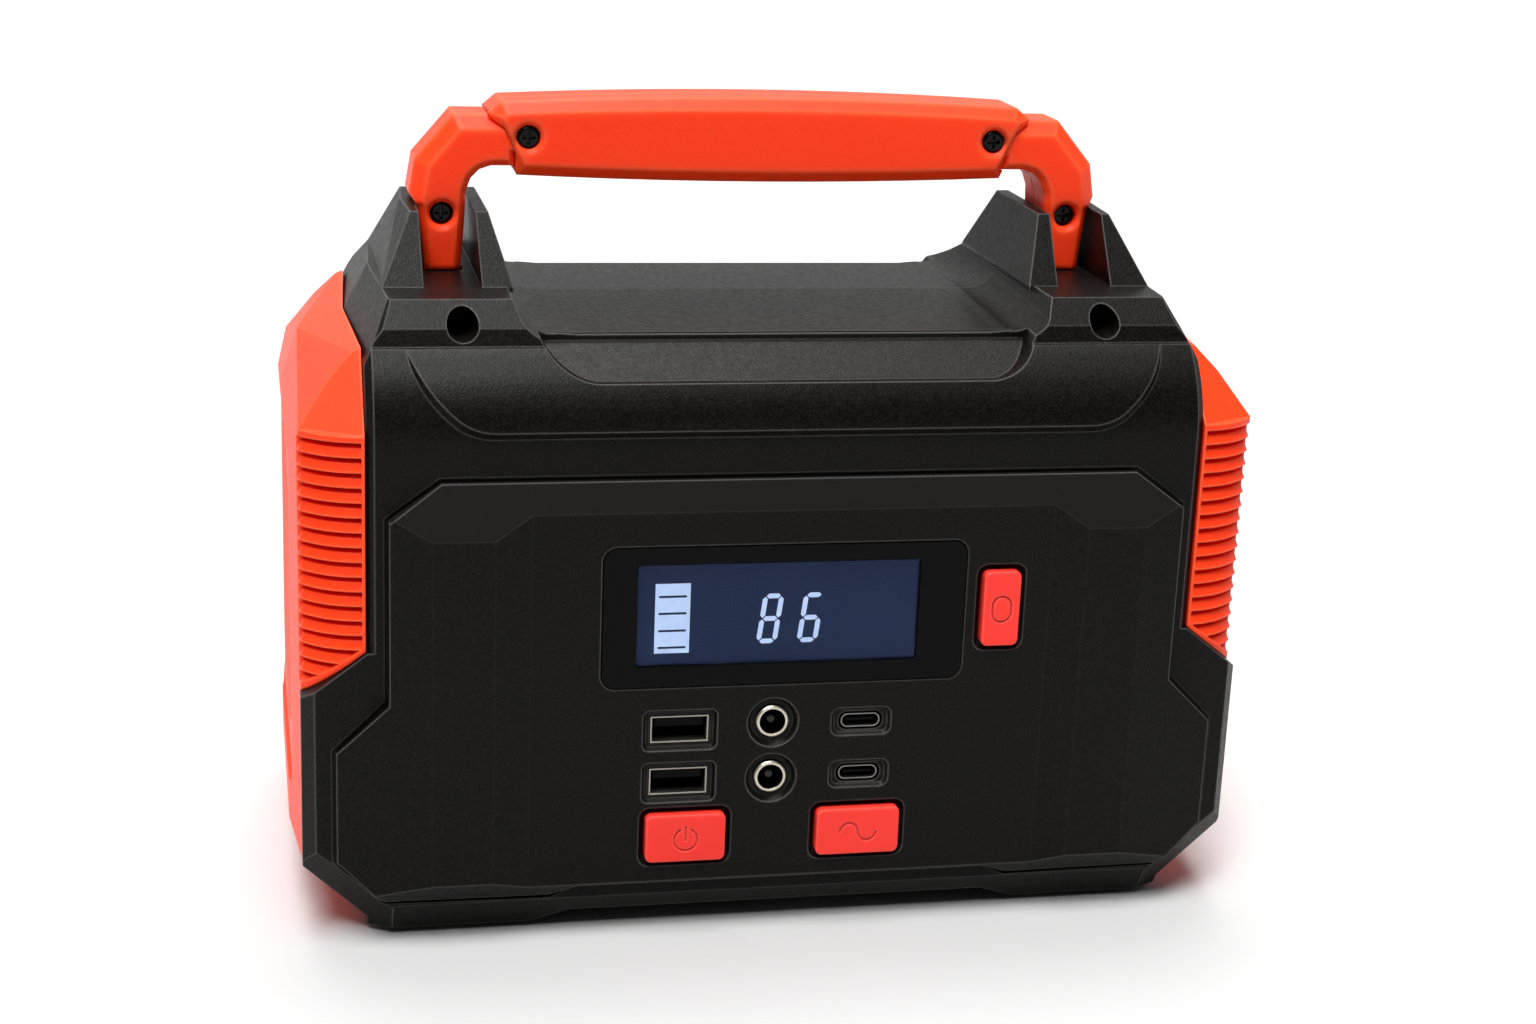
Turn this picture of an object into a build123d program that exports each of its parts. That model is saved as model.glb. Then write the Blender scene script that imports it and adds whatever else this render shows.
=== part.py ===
"""Portable power station: a split black case with orange end caps, a fixed carrying handle,
a control panel on the front, a lamp on the back, an outlet on the right and a fan on the left.

Millimetres. +Z is up, the front faces -Y, and the origin is on the floor below the middle.
"""
from build123d import *
import os

# ---------------------------------------------------------------- driving dimensions
CORE_HALF_X = 93.5          # black case between the two end caps
FLANK_X = 95.4              # the case above the end caps, at the seam
WING_X = 107.6              # lower front corners of the black case
WING_TOP_Z = 57.2
WING_SEAM_TOP_Z = 68.3      # where the wing's slanted top meets the end cap's straight seam
WING_BACK_Y = 49.5
BASE_Y = 58.0               # front face of the case, behind the raised panel
PANEL_Y = 61.0              # middle of the raised panel
COLUMN_Y = 62.4             # the two thicker columns of the raised panel
SIDE_X = 109.9              # widest point of the end caps
SLAB_Z = 136.2              # top of the case at the seam
SLAB_EDGE_Z = 134.6
SLAB_FALL = (SLAB_EDGE_Z - SLAB_Z) / 39.0    # slope of the top towards the front
LEDGE_Z = 142.3             # top of the blocks that the handle towers stand on
TOWER_Z = 157.2
SHELL_BOTTOM_Z = 1.4
ARCH_Z = 4.6
WALL = 2.6
SEAM_BEVEL = 1.7            # bevel of the case along the end caps
BROW_RISE = 1.5             # how far the brow stands proud at its lower edge
SEAM_GAP = 0.1              # each half stops this far from the seam
CAP_GAP = 0.2               # between an end cap and the black case

CHEEK_LOW_Z = 116.4         # lower edge of the end cap's flat upper corner, above the ribs
RIB_PITCH = 3.3
RIB_SLOT = 1.15             # open height between two ribs
RIB_SLOPE = 21              # degrees that a rib's face leans back
RIB_FLOOR_NEAR = (94.4, -54.4)
RIB_FLOOR_FAR = (108.5, -47.6)
RIB_COUNT = 17
RIB_TOP_Z = 115.0

HANDLE_X = 73.7             # leg screws
LEG_SCREW_Z = 155.2
GRIP_SCREW_X = 54.4
GRIP_SCREW_Z = 172.8
HANDLE_HALF_Y = 9.0
ARM_CHAMFER = 3.2
GRIP_HALF_Y = 10.2
TOWER_SCREW_X = 72.2
TOWER_SCREW_Z = 137.6

BUTTON_PROUD_Y = 62.6
BUTTON_GAP = 0.35
BOARD_Y = -45.6             # front face of the control board
BOARD_THICK = 1.6
SWITCH_DEPTH = 3.5

FAN_Z = 75.0
FAN_X = -90.7               # outer face of the fan frame
FAN_DEPTH = 15.0
FAN_SIZE = 60.0
OUTLET_Z = 75.0

CELL_RADIUS = 9.2
CELL_LENGTH = 65.0
CELL_PITCH = 20.0
CELL_FRONT_Y = -22.0
CELL_COLUMNS = 6
CELL_ROWS = 4
CELL_BOTTOM_Z = 20.5

INVERTER_Z = 99.0


# ---------------------------------------------------------------- helpers
def prism_xz(points, y_low, y_high):
    """Extrude an outline of (x, z) points from y_low to y_high."""
    face = make_face(Polyline(*[(x, y_low, z) for x, z in points], close=True))
    return extrude(face, amount=y_high - y_low, dir=(0, 1, 0))


def prism_yz(points, x_low, x_high):
    """Extrude an outline of (y, z) points from x_low to x_high."""
    face = make_face(Polyline(*[(x_low, y, z) for y, z in points], close=True))
    return extrude(face, amount=x_high - x_low, dir=(1, 0, 0))


def prism_xy(points, z_low, z_high):
    """Extrude an outline of (x, y) points from z_low to z_high."""
    face = make_face(Polyline(*[(x, y, z_low) for x, y in points], close=True))
    return extrude(face, amount=z_high - z_low, dir=(0, 0, 1))


def mirrored(points):
    """Close a half outline of (x, z) points with its mirror image across x = 0."""
    return points + [(-x, z) for x, z in reversed(points) if abs(x) > 1e-6]


def block(x_low, x_high, y_low, y_high, z_low, z_high):
    size = (x_high - x_low, y_high - y_low, z_high - z_low)
    centre = ((x_low + x_high) / 2, (y_low + y_high) / 2, (z_low + z_high) / 2)
    return Pos(*centre) * Box(*size)


def rod_x(radius, y, z, x_low, x_high):
    return Plane(origin=(x_low, y, z), z_dir=(1, 0, 0)) * Cylinder(
        radius, x_high - x_low, align=(Align.CENTER, Align.CENTER, Align.MIN))


def rod_y(radius, x, z, y_low, y_high):
    return Plane(origin=(x, y_low, z), z_dir=(0, 1, 0)) * Cylinder(
        radius, y_high - y_low, align=(Align.CENTER, Align.CENTER, Align.MIN))


def rod_z(radius, x, y, z_low, z_high):
    return Pos(x, y, z_low) * Cylinder(
        radius, z_high - z_low, align=(Align.CENTER, Align.CENTER, Align.MIN))


def cone_y(radius_low, radius_high, x, z, y_low, y_high):
    return Plane(origin=(x, y_low, z), z_dir=(0, 1, 0)) * Cone(
        radius_low, radius_high, y_high - y_low, align=(Align.CENTER, Align.CENTER, Align.MIN))


def plate_y(x_low, x_high, z_low, z_high, radius, y_low, y_high):
    """A rounded rectangle in the XZ plane, extruded along Y."""
    face = Plane(origin=((x_low + x_high) / 2, y_low, (z_low + z_high) / 2),
                 x_dir=(1, 0, 0), z_dir=(0, 1, 0)) * RectangleRounded(
        x_high - x_low, z_high - z_low, radius)
    return extrude(face, amount=y_high - y_low, dir=(0, 1, 0))


def pocket_y(x_low, x_high, z_low, z_high, radius, y_mouth, depth, flare):
    """A recess that narrows by flare on each side, from y_mouth inward to y_mouth + depth."""
    mouth = Plane(origin=((x_low + x_high) / 2, y_mouth, (z_low + z_high) / 2),
                  x_dir=(1, 0, 0), z_dir=(0, 1, 0)) * RectangleRounded(
        x_high - x_low, z_high - z_low, radius)
    floor = Plane(origin=((x_low + x_high) / 2, y_mouth + depth, (z_low + z_high) / 2),
                  x_dir=(1, 0, 0), z_dir=(0, 1, 0)) * RectangleRounded(
        x_high - x_low - 2 * flare, z_high - z_low - 2 * flare, max(radius - flare, 0.3))
    return loft([mouth, floor])


def cut_beyond(body, point, normal):
    """Remove what lies beyond the plane, on the side that its normal points to."""
    plane = Plane(origin=point, z_dir=normal)
    return body - plane * Box(600, 600, 300, align=(Align.CENTER, Align.CENTER, Align.MIN))


def plane_through(a, b, c, inside):
    """A point and the normal of the plane through three points, pointing away from inside."""
    va, vb, vc = Vector(*a), Vector(*b), Vector(*c)
    normal = (vb - va).cross(vc - va).normalized()
    if normal.dot(Vector(*inside) - va) > 0:
        normal = normal * -1
    return va, normal


def flip_x(shape):
    return mirror(shape, about=Plane.YZ)


def flip_y(shape):
    return mirror(shape, about=Plane.XZ)


def group(shapes):
    """Several separate solids in one node."""
    solids = []
    for shape in shapes:
        solids.extend(shape.solids())
    return Compound(children=solids)


def screw_y(x, z, y_head, direction, length, head_radius=2.5, shank_radius=1.4, head_height=2.0):
    """A pan-head screw with a cross recess; direction is +1 when it is driven towards +Y."""
    y_under = y_head + direction * head_height
    y_tip = y_under + direction * length
    head = rod_y(head_radius, x, z, min(y_head, y_under), max(y_head, y_under))
    head = fillet(head.edges().filter_by(GeomType.CIRCLE).sort_by(Axis.Y)[0 if direction > 0 else -1], 0.7)
    shank = rod_y(shank_radius, x, z, min(y_under, y_tip), max(y_under, y_tip))
    recess_far = y_head + direction * 1.2
    y0 = min(y_head, recess_far)
    y1 = max(y_head, recess_far)
    arm = head_radius * 0.6
    recess = block(x - arm, x + arm, y0, y1, z - 0.35, z + 0.35)
    recess += block(x - 0.35, x + 0.35, y0, y1, z - arm, z + arm)
    return head + shank - recess


def screw_x(y, z, x_head, direction, length, head_radius=2.5, shank_radius=1.3, head_height=2.0):
    """The same screw driven along X."""
    turned = screw_y(0, 0, 0, 1, length, head_radius, shank_radius, head_height)
    turned = Rot(0, 0, -90 * direction) * turned
    return Pos(x_head, y, z) * turned


# ---------------------------------------------------------------- outer form of the black case
def core_profile(rise):
    """Side outline of the front half, swelling to rise millimetres proud below the shoulder."""
    top = Line((0, 0, SLAB_Z), (0, -39.0, SLAB_EDGE_Z))
    shoulder = Line((0, -39.0, SLAB_EDGE_Z), (0, -48.6, 133.2))
    bow = ThreePointArc((0, -48.6, 133.2), (0, -54.9 - rise * 0.8, 125.6 + rise * 0.5),
                        (0, -BASE_Y - rise, 112.0))
    face = Line((0, -BASE_Y - rise, 112.0), (0, -BASE_Y - rise, 8.5))
    toe = Line((0, -BASE_Y - rise, 8.5), (0, -54.0, SHELL_BOTTOM_Z))
    floor = Line((0, -54.0, SHELL_BOTTOM_Z), (0, 0, SHELL_BOTTOM_Z))
    back = Line((0, 0, SHELL_BOTTOM_Z), (0, 0, SLAB_Z))
    return make_face([top, shoulder, bow, face, toe, floor, back])


def core_block(rise, half_x):
    """The front half of the case as a full-width block."""
    both = extrude(core_profile(rise), amount=half_x, dir=(1, 0, 0))
    return both + extrude(core_profile(rise), amount=half_x, dir=(-1, 0, 0))


def bevelled_core():
    """The plain case, bevelled along the front edges that run beside the end caps."""
    body = core_block(0, CORE_HALF_X)
    for end in (0, -1):
        side = body.faces().sort_by(Axis.X)[end]
        edges = [edge for edge in side.edges() if edge.center().Y < -45 and edge.center().Z > 50]
        body = chamfer(edges, SEAM_BEVEL)
    return body


def arch_cutter():
    """The space under the raised middle of the case, between the feet."""
    half = [(0, ARCH_Z), (48.6, ARCH_Z), (57.0, SHELL_BOTTOM_Z), (57.0, -5.0), (0, -5.0)]
    return prism_xz(mirrored(half), -80, 80)


def wing():
    """The lower right front corner, which laps over the end cap."""
    outline = [(88.0, SHELL_BOTTOM_Z), (90.7, SHELL_BOTTOM_Z), (WING_X, 17.0), (WING_X, WING_TOP_Z),
               (CORE_HALF_X, WING_SEAM_TOP_Z), (88.0, WING_SEAM_TOP_Z)]
    plan = [(88.0, -BASE_Y), (96.0, -BASE_Y), (104.8, -57.2), (WING_X, -53.6), (WING_X, -WING_BACK_Y),
            (88.0, -WING_BACK_Y)]
    shape = prism_xz(outline, -BASE_Y, -WING_BACK_Y) & prism_xy(plan, 0, 80)
    hollow = [(95.6, 14.4), (104.8, 23.0), (104.8, 55.6), (95.6, 62.9)]
    shape -= prism_xz(hollow, -55.2, -WING_BACK_Y) & prism_xy(
        [(94.0, -55.2), (100.2, -55.2), (104.8, -51.0), (104.8, -40), (94.0, -40)], 0, 80)
    return shape


def lower_bevels(body):
    """Lean the slanted lower corners back, so that the front face narrows towards the floor."""
    for side in (1, -1):
        corner = (side * WING_X, -52.6, 17.0)
        body = cut_beyond(body, corner, (side * 0.678 * 5.4, -6.5, -0.735 * 5.4))
    return body


def upper_body():
    """The right tower's block and the shoulder beside it, down into the case."""
    bottom = 118.0
    profile = make_face([
        Line((46.0, 0, bottom), (97.0, 0, bottom)),
        Line((97.0, 0, bottom), (97.0, 0, LEDGE_Z + 4)),
        Line((97.0, 0, LEDGE_Z + 4), (62.1, 0, LEDGE_Z + 4)),
        Line((62.1, 0, LEDGE_Z + 4), (60.3, 0, LEDGE_Z)),
        Line((60.3, 0, LEDGE_Z), (59.3, 0, 139.9)),
        ThreePointArc((59.3, 0, 139.9), (56.5, 0, 137.4), (51.0, 0, 136.4)),
        Line((51.0, 0, 136.4), (46.0, 0, 136.0)),
        Line((46.0, 0, 136.0), (46.0, 0, bottom)),
    ])
    shape = extrude(profile, amount=52, dir=(0, -1, SLAB_FALL))
    front = [(0, LEDGE_Z), (-40.2, LEDGE_Z), (-46.0, 137.0), (-47.7, 133.0), (-47.7, bottom), (0, bottom)]
    shape &= prism_yz(front, 40, 110)
    plan = [(40.0, 0), (FLANK_X, 0), (CORE_HALF_X, -42.0), (CORE_HALF_X, -52), (40.0, -52)]
    shape &= prism_xy(plan, bottom, 160)
    corner = plane_through((87.2, -40.2, LEDGE_Z), (89.2, -46.0, 137.0), (90.9, -43.5, 137.0),
                           (70, -10, 130))
    return cut_beyond(shape, *corner)


def flank_cuts(body):
    """Lean both sides of the case inwards above the end caps."""
    for side in (1, -1):
        flank = plane_through((side * FLANK_X, 0, 131.6), (side * 91.8, -47.7, 133.4),
                              (side * 88.4, -28.0, LEDGE_Z), (0, -10, 100))
        body = cut_beyond(body, *flank)
    return body


def tower():
    """The front half of the right tower: two ears with a slot for the handle's leg."""
    front_view = [(59.5, LEDGE_Z - 1), (88.6, LEDGE_Z - 1), (88.4, LEDGE_Z), (82.6, TOWER_Z),
                  (64.1, TOWER_Z), (59.5, LEDGE_Z)]
    side_view = [(0, LEDGE_Z - 1), (-28.4, LEDGE_Z - 1), (-28.0, LEDGE_Z), (-16.6, TOWER_Z), (0, TOWER_Z)]
    ears = prism_xz(front_view, -30, 0) & prism_yz(side_view, 55, 95)
    slot = prism_xz([(66.4, LEDGE_Z), (79.2, LEDGE_Z), (79.6, TOWER_Z + 1), (67.0, TOWER_Z + 1)], -40, 1)
    return ears - slot


def brow_outline():
    """Front view of the raised brow, with its rounded lower corners."""
    right = [Line((0, 0, 134.4), (86.0, 0, 134.4)),
             ThreePointArc((86.0, 0, 134.4), (80.9, 0, 124.5), (76.4, 0, 119.6)),
             ThreePointArc((76.4, 0, 119.6), (72.1, 0, 116.6), (66.0, 0, 115.4)),
             Line((66.0, 0, 115.4), (0, 0, 115.4)),
             Line((0, 0, 115.4), (0, 0, 134.4))]
    return make_face(right)


def brow():
    """The part of the case that stands proud above the panel, with a sloped lower rim."""
    half = extrude(brow_outline(), amount=70, dir=(0, -1, 0))
    shape = (half + flip_x(half)) & core_block(BROW_RISE, 90)
    shape -= block(-100, 100, -36.0, 1, 100, 150)
    bow = shape.faces().filter_by(GeomType.CYLINDER).sort_by(SortBy.AREA)[-1]
    return chamfer([edge for edge in bow.edges() if edge.center().Z < 131], BROW_RISE + 0.3)


def scoop_cutter():
    """The finger scoop across the top of the brow."""
    bowl = make_face([
        Line((0, 0, 126.9), (44.0, 0, 126.9)),
        ThreePointArc((44.0, 0, 126.9), (51.6, 0, 129.9), (55.6, 0, 134.9)),
        Line((55.6, 0, 134.9), (55.6, 0, 150)),
        Line((55.6, 0, 150), (0, 0, 150)),
        Line((0, 0, 150), (0, 0, 126.9)),
    ])
    half = extrude(bowl, amount=70, dir=(0, -1, 0))
    ramp = [(-40.6, 150), (-40.6, 133.1), (-54.0, 126.6), (-70, 118.8), (-70, 150)]
    return (half + flip_x(half)) & prism_yz(ramp, -60, 60)


def raised_panel():
    """The raised panel: thicker columns at both sides and a sloped band along the top."""
    outline = [(0, 12.4), (47.5, 12.4), (53.5, 9.7), (90.0, 10.1), (100.3, 20.2), (100.3, 45.8),
               (88.9, 57.0), (88.9, 98.2), (77.7, 106.3), (0, 106.3)]
    shape = prism_xz(mirrored(outline), -COLUMN_Y - 1, -BASE_Y + 1)
    half_plan = [(0, -PANEL_Y), (58.5, -PANEL_Y), (66.4, -COLUMN_Y), (79.8, -COLUMN_Y), (100.6, -59.2),
                 (100.6, -50), (0, -50)]
    shape &= prism_xy(mirrored(half_plan), 0, 120)
    shape = cut_beyond(shape, (0, -PANEL_Y, 99.5), (0, -6.8, 1.8))
    return cut_beyond(shape, (0, -PANEL_Y, 12.9), (0, -2.0, -1.6))


def panel_moat():
    """A thin groove around the raised panel."""
    outline = [(0, 11.6), (47.5, 11.6), (53.2, 8.9), (90.4, 9.3), (101.1, 19.9), (101.1, 46.1),
               (89.7, 57.3), (89.7, 98.6), (78.0, 107.2), (0, 107.2)]
    return prism_xz(mirrored(outline), -BASE_Y - 1, -BASE_Y + 0.7)


def outer_half():
    """The solid outer form of the front half of the black case."""
    body = bevelled_core()
    corner = wing()
    body += corner + flip_x(corner)
    body = lower_bevels(body)
    body -= arch_cutter()
    right = upper_body() + tower()
    body += right + flip_x(right)
    body += brow()
    body = flank_cuts(body)
    body -= scoop_cutter()
    body -= block(-52, 52, -40.0, -39.2, 133.9, 140)
    body -= panel_moat()
    return body + raised_panel()


def cavity_half():
    """The hollow of the front half, a wall's thickness inside the plain case."""
    side = [(1, SLAB_Z - WALL), (-38.0, SLAB_EDGE_Z - WALL - 0.4), (-45.0, 124.5), (-50.0, 121.5),
            (-54.4, 112.0), (-55.2, 104.0), (-55.2, 10.0), (-52.4, 7.2), (1, 7.2)]
    hollow = prism_yz(side, -CORE_HALF_X + WALL, CORE_HALF_X - WALL)
    hollow = lower_hollow_corners(hollow)
    return hollow + block(-84, 84, -BASE_Y + 0.2, -54, 16, 92)


def lower_hollow_corners(hollow):
    for side in (1, -1):
        hollow = cut_beyond(hollow, (side * 88.6, 0, 7.2), (side * 0.678, 0, -0.735))
    return hollow


def tower_boss():
    """Solid material under the right tower, around the handle's foot."""
    return block(65.0, 82.0, -30.0, 0, 126.0, 135.0)


def foot_pocket():
    """The hole that the foot of the handle's leg stands in."""
    return block(68.9, 78.0, -8.2, 1, 130.6, 150)


def case_boss_places():
    return [(-83.0, 21.0), (83.0, 21.0), (-83.0, 117.0), (83.0, 117.0)]


def cover_screw_places():
    return [(-38.0, 30.0), (38.0, 30.0), (-38.0, 111.0), (38.0, 111.0)]


def half_shell():
    """What the front and rear shells have in common, drawn as the front half."""
    shell = outer_half() - cavity_half()
    shell += tower_boss() + flip_x(tower_boss())
    shell -= foot_pocket() + flip_x(foot_pocket())
    for x, z in case_boss_places():
        shell += rod_y(4.0, x, z, -56.5, 0)
    shell -= block(-120, 120, -SEAM_GAP, 5, -5, 170)
    shell -= rod_x(26.5, 0, FAN_Z, -100, -85)
    for side in (1, -1):
        for y, z in cover_screw_places():
            shell -= rod_x(1.6, y, z, *sorted((side * 85, side * 100)))
    shell -= block(85, 100, -18.0, 18.0, OUTLET_Z - 20, OUTLET_Z + 20)
    return shell


# ---------------------------------------------------------------- layout of the control panel
POWER_BUTTON = (-32.4, -14.2, 18.0, 29.3)
AC_BUTTON = (6.8, 26.1, 17.9, 29.0)
LIGHT_BUTTON = (42.7, 51.3, 67.1, 84.6)
BUTTONS = {"power": POWER_BUTTON, "ac": AC_BUTTON, "light": LIGHT_BUTTON}
USB_A_Z = {"upper": (45.9, 52.2), "lower": (33.5, 39.8)}
USB_A_X = (-31.6, -18.5)
JACK_X = -4.0
JACK_Z = {"upper": 50.1, "lower": 36.8}
JACK_RADIUS = 3.8
USB_C_X = 16.3
USB_C_Z = {"upper": 49.6, "lower": 37.0}
USB_C_SIZE = (9.0, 3.3)
BEZEL = (-42.9, 38.6, 59.5, 91.6)
WINDOW = (-35.0, 27.8, 64.5, 87.3)


def button_openings():
    cut = None
    for x_low, x_high, z_low, z_high in BUTTONS.values():
        hole = plate_y(x_low - BUTTON_GAP, x_high + BUTTON_GAP, z_low - BUTTON_GAP, z_high + BUTTON_GAP,
                       1.8, -70, -50)
        hole += pocket_y(x_low - 1.5, x_high + 1.5, z_low - 1.5, z_high + 1.5, 2.6, -PANEL_Y - 0.1, 1.1, 1.0)
        cut = hole if cut is None else cut + hole
    return cut


def usb_a_openings():
    cut = None
    for z_low, z_high in USB_A_Z.values():
        x_low, x_high = USB_A_X
        hole = block(x_low - 0.15, x_high + 0.15, -70, -50, z_low - 0.15, z_high + 0.15)
        hole += pocket_y(x_low - 1.9, x_high + 1.9, z_low - 1.7, z_high + 1.7, 1.6, -PANEL_Y - 0.1, 1.3, 0.8)
        cut = hole if cut is None else cut + hole
    return cut


def usb_c_openings():
    cut = None
    width, height = USB_C_SIZE
    for z in USB_C_Z.values():
        hole = plate_y(USB_C_X - width / 2 - 0.6, USB_C_X + width / 2 + 0.6,
                       z - height / 2 - 0.5, z + height / 2 + 0.5, 1.9, -70, -50)
        hole += pocket_y(USB_C_X - 7.0, USB_C_X + 7.0, z - 3.4, z + 3.4, 2.0, -PANEL_Y - 0.1, 1.0, 0.8)
        cut = hole if cut is None else cut + hole
    return cut


def jack_openings():
    cut = None
    for z in JACK_Z.values():
        hole = rod_y(JACK_RADIUS + 0.15, JACK_X, z, -70, -50)
        hole += cone_y(5.9, 4.9, JACK_X, z, -PANEL_Y - 0.1, -PANEL_Y + 1.4)
        cut = hole if cut is None else cut + hole
    return cut


def bezel_opening():
    x_low, x_high, z_low, z_high = BEZEL
    recess = plate_y(x_low - 0.3, x_high + 0.3, z_low - 0.3, z_high + 0.3, 3.3, -PANEL_Y - 2, -PANEL_Y + 1.7)
    through = block(WINDOW[0] - 2, WINDOW[1] + 2, -70, -50, WINDOW[2] - 2, WINDOW[3] + 2)
    return recess + through


def front_shell():
    """Front half of the case, with every opening of the control panel."""
    shell = half_shell()
    shell -= button_openings()
    shell -= usb_a_openings()
    shell -= usb_c_openings()
    shell -= jack_openings()
    shell -= bezel_opening()
    for x, z in case_boss_places():
        shell -= rod_y(1.5, x, z, -13.0, 1)
    for side in (1, -1):
        shell -= rod_y(3.45, side * TOWER_SCREW_X, TOWER_SCREW_Z, -60, -24.0)
        shell -= rod_y(1.8, side * TOWER_SCREW_X, TOWER_SCREW_Z, -25.0, 1)
    return shell


# ---------------------------------------------------------------- rear
LAMP = (-50.0, 50.0, 58.0, 90.0)


def lamp_opening():
    x_low, x_high, z_low, z_high = LAMP
    hole = plate_y(x_low - 0.25, x_high + 0.25, z_low - 0.25, z_high + 0.25, 5.0, -70, -PANEL_Y + 2.2)
    hole += plate_y(x_low + 2.5, x_high - 2.5, z_low + 2.5, z_high - 2.5, 3.0, -70, -50)
    rim = pocket_y(x_low - 1.6, x_high + 1.6, z_low - 1.6, z_high + 1.6, 6.0, -PANEL_Y - 0.1, 1.2, 1.0)
    return hole + rim


def rear_shell():
    """Rear half of the case: the front's outline turned round, with long ramps and the lamp's window."""
    shell = half_shell() - lamp_opening()
    ramp = [(-28.6, LEDGE_Z + 1), (-28.6, LEDGE_Z), (-48.0, 134.3), (-60.0, 134.3), (-60.0, LEDGE_Z + 1)]
    shell -= prism_yz(ramp, -100, 100)
    for x, z in case_boss_places():
        shell -= rod_y(3.4, x, z, -70, -30.0)
        shell -= rod_y(1.8, x, z, -31.0, 1)
    for side in (1, -1):
        shell -= rod_y(1.5, side * TOWER_SCREW_X, TOWER_SCREW_Z, -24.0, 1)
    return flip_y(shell)


# ---------------------------------------------------------------- end caps
def cap_planes():
    """The sloped planes that bound the right end cap, as (point, outward normal)."""
    inside = (97.0, 0.0, 70.0)
    planes = [plane_through((110.2, 0, 19.4), (110.2, 10, 19.4), (91.0, 0, SHELL_BOTTOM_Z + 0.28), inside)]
    for side in (-1, 1):
        a = (FLANK_X, 0, 132.0)
        b = (106.0, 0, 127.4)
        c = (109.5, 0, 116.3)
        d = (107.4, side * 50.0, CHEEK_LOW_Z)
        e = (93.8, side * 41.7, 133.2)
        f = (101.2, side * 40.0, 126.2)
        planes.append(plane_through(a, e, b, inside))
        planes.append(plane_through(e, f, b, inside))
        planes.append(plane_through(f, b, d, inside))
        planes.append(plane_through(b, c, d, inside))
    return planes


def corner_arc(inset, side):
    """Plan of the rounded corner of the end cap; side is -1 at the front and 1 at the rear."""
    return ThreePointArc((CORE_HALF_X, side * (57.2 - inset), 0),
                         (101.3 - 0.3 * inset, side * (55.2 - 0.95 * inset), 0),
                         (107.4 - 0.7 * inset, side * (50.0 - 0.7 * inset), 0))


def cap_plan(inset):
    """Plan of the right end cap, drawn inset millimetres smaller."""
    front = corner_arc(inset, -1)
    rear = corner_arc(inset, 1)
    side = SIDE_X - inset
    depth = 57.2 - inset
    return make_face([
        front,
        Polyline(front @ 1, (side, -30.0, 0), (side, 30.0, 0), rear @ 1),
        rear,
        Polyline(rear @ 0, (80.0, depth, 0), (80.0, -depth, 0), front @ 0),
    ])


def cheek_cutter(inset, side):
    """What the cap's flat upper corner leaves away, down to a small ledge over the ribs."""
    point, normal = plane_through((CORE_HALF_X, side * 57.2, CHEEK_LOW_Z), (107.4, side * 50.0, CHEEK_LOW_Z),
                                  (93.8, side * 41.7, 133.2), (97.0, 0.0, 70.0))
    space = block(80, 125, -70, 70, CHEEK_LOW_Z - inset, 160)
    return space - cut_beyond(space, point - normal * inset, normal)


def cap_form(inset, x_low):
    """The end cap's outer form, drawn inset millimetres smaller."""
    low = SHELL_BOTTOM_Z + 2 + inset
    form = Pos(0, 0, low) * extrude(cap_plan(inset), amount=140 - low, dir=(0, 0, 1))
    form &= block(x_low, 120, -70, 70, 0, 150)
    for point, normal in cap_planes():
        form = cut_beyond(form, point - normal * inset, normal)
    for side in (-1, 1):
        form -= cheek_cutter(inset, side)
    return form


def case_clearance(gap):
    """The black case's space that the right end cap keeps out of."""
    wing_outline = [(80, -5), (120, -5), (120, WING_TOP_Z + gap - 0.2), (WING_X, WING_TOP_Z + gap),
                    (CORE_HALF_X, WING_SEAM_TOP_Z + gap * 1.25), (80, WING_SEAM_TOP_Z + gap * 1.25)]
    shoulder = [(80, -47 - gap), (CORE_HALF_X + gap, -47 - gap), (CORE_HALF_X + gap, -42.0),
                (FLANK_X + gap, 0), (CORE_HALF_X + gap, 42.0), (CORE_HALF_X + gap, 47 + gap), (80, 47 + gap)]
    space = prism_xy(shoulder, 118 - gap, 150)
    front = prism_xz(wing_outline, -80, -WING_BACK_Y + gap)
    return space + front + flip_y(front)


def rib_pocket():
    """The recess at the cap's front corner that the ribs stand in, deepest beside the case."""
    plan = [RIB_FLOOR_NEAR, RIB_FLOOR_FAR, (112, -47.6), (112, -62), (RIB_FLOOR_NEAR[0], -62)]
    outline = [(90, RIB_TOP_Z), (90, WING_SEAM_TOP_Z + 4.4), (RIB_FLOOR_NEAR[0], WING_SEAM_TOP_Z + 0.9),
               (107.8, WING_TOP_Z + 1.9), (120, WING_TOP_Z + 1.9), (120, RIB_TOP_Z)]
    return prism_xy(plan, 50, 120) & prism_xz(outline, -70, -40)


def rib():
    """One rib, its lower lip flush with the cap's corner and its face sloping back above it."""
    arc = corner_arc(0, -1)
    face = make_face([arc, Polyline(arc @ 1, (107.8, -46.5, 0), (106.8, -46.8, 0),
                                    (CORE_HALF_X, -53.1, 0), arc @ 0)])
    shape = extrude(face, amount=RIB_PITCH - RIB_SLOT, dir=(0, 0, 1), taper=RIB_SLOPE)
    return shape - block(90, CORE_HALF_X + CAP_GAP, -60, -40, -1, 5)


def ribs(pocket):
    """All the ribs of the front corner, clipped to its recess."""
    shapes = []
    for index in range(RIB_COUNT):
        z = RIB_TOP_Z - (index + 1) * RIB_PITCH
        shapes.extend(((Pos(0, 0, z) * rib()) & pocket).solids())
    return shapes


LOUVRE_PITCH = 6.0
LOUVRE_WIDTH = 2.6


def louvre_cutters(columns):
    """Upright slots through the cap's side, taller in the middle than at the ends."""
    cuts = []
    for index in columns:
        y = index * LOUVRE_PITCH
        top = 108.0 - abs(index) * 2.2
        low = 32.0 + abs(index) * 2.2
        slot = block(100, 115, y - LOUVRE_WIDTH / 2, y + LOUVRE_WIDTH / 2, low, top)
        cuts.append(slot)
    return cuts


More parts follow.
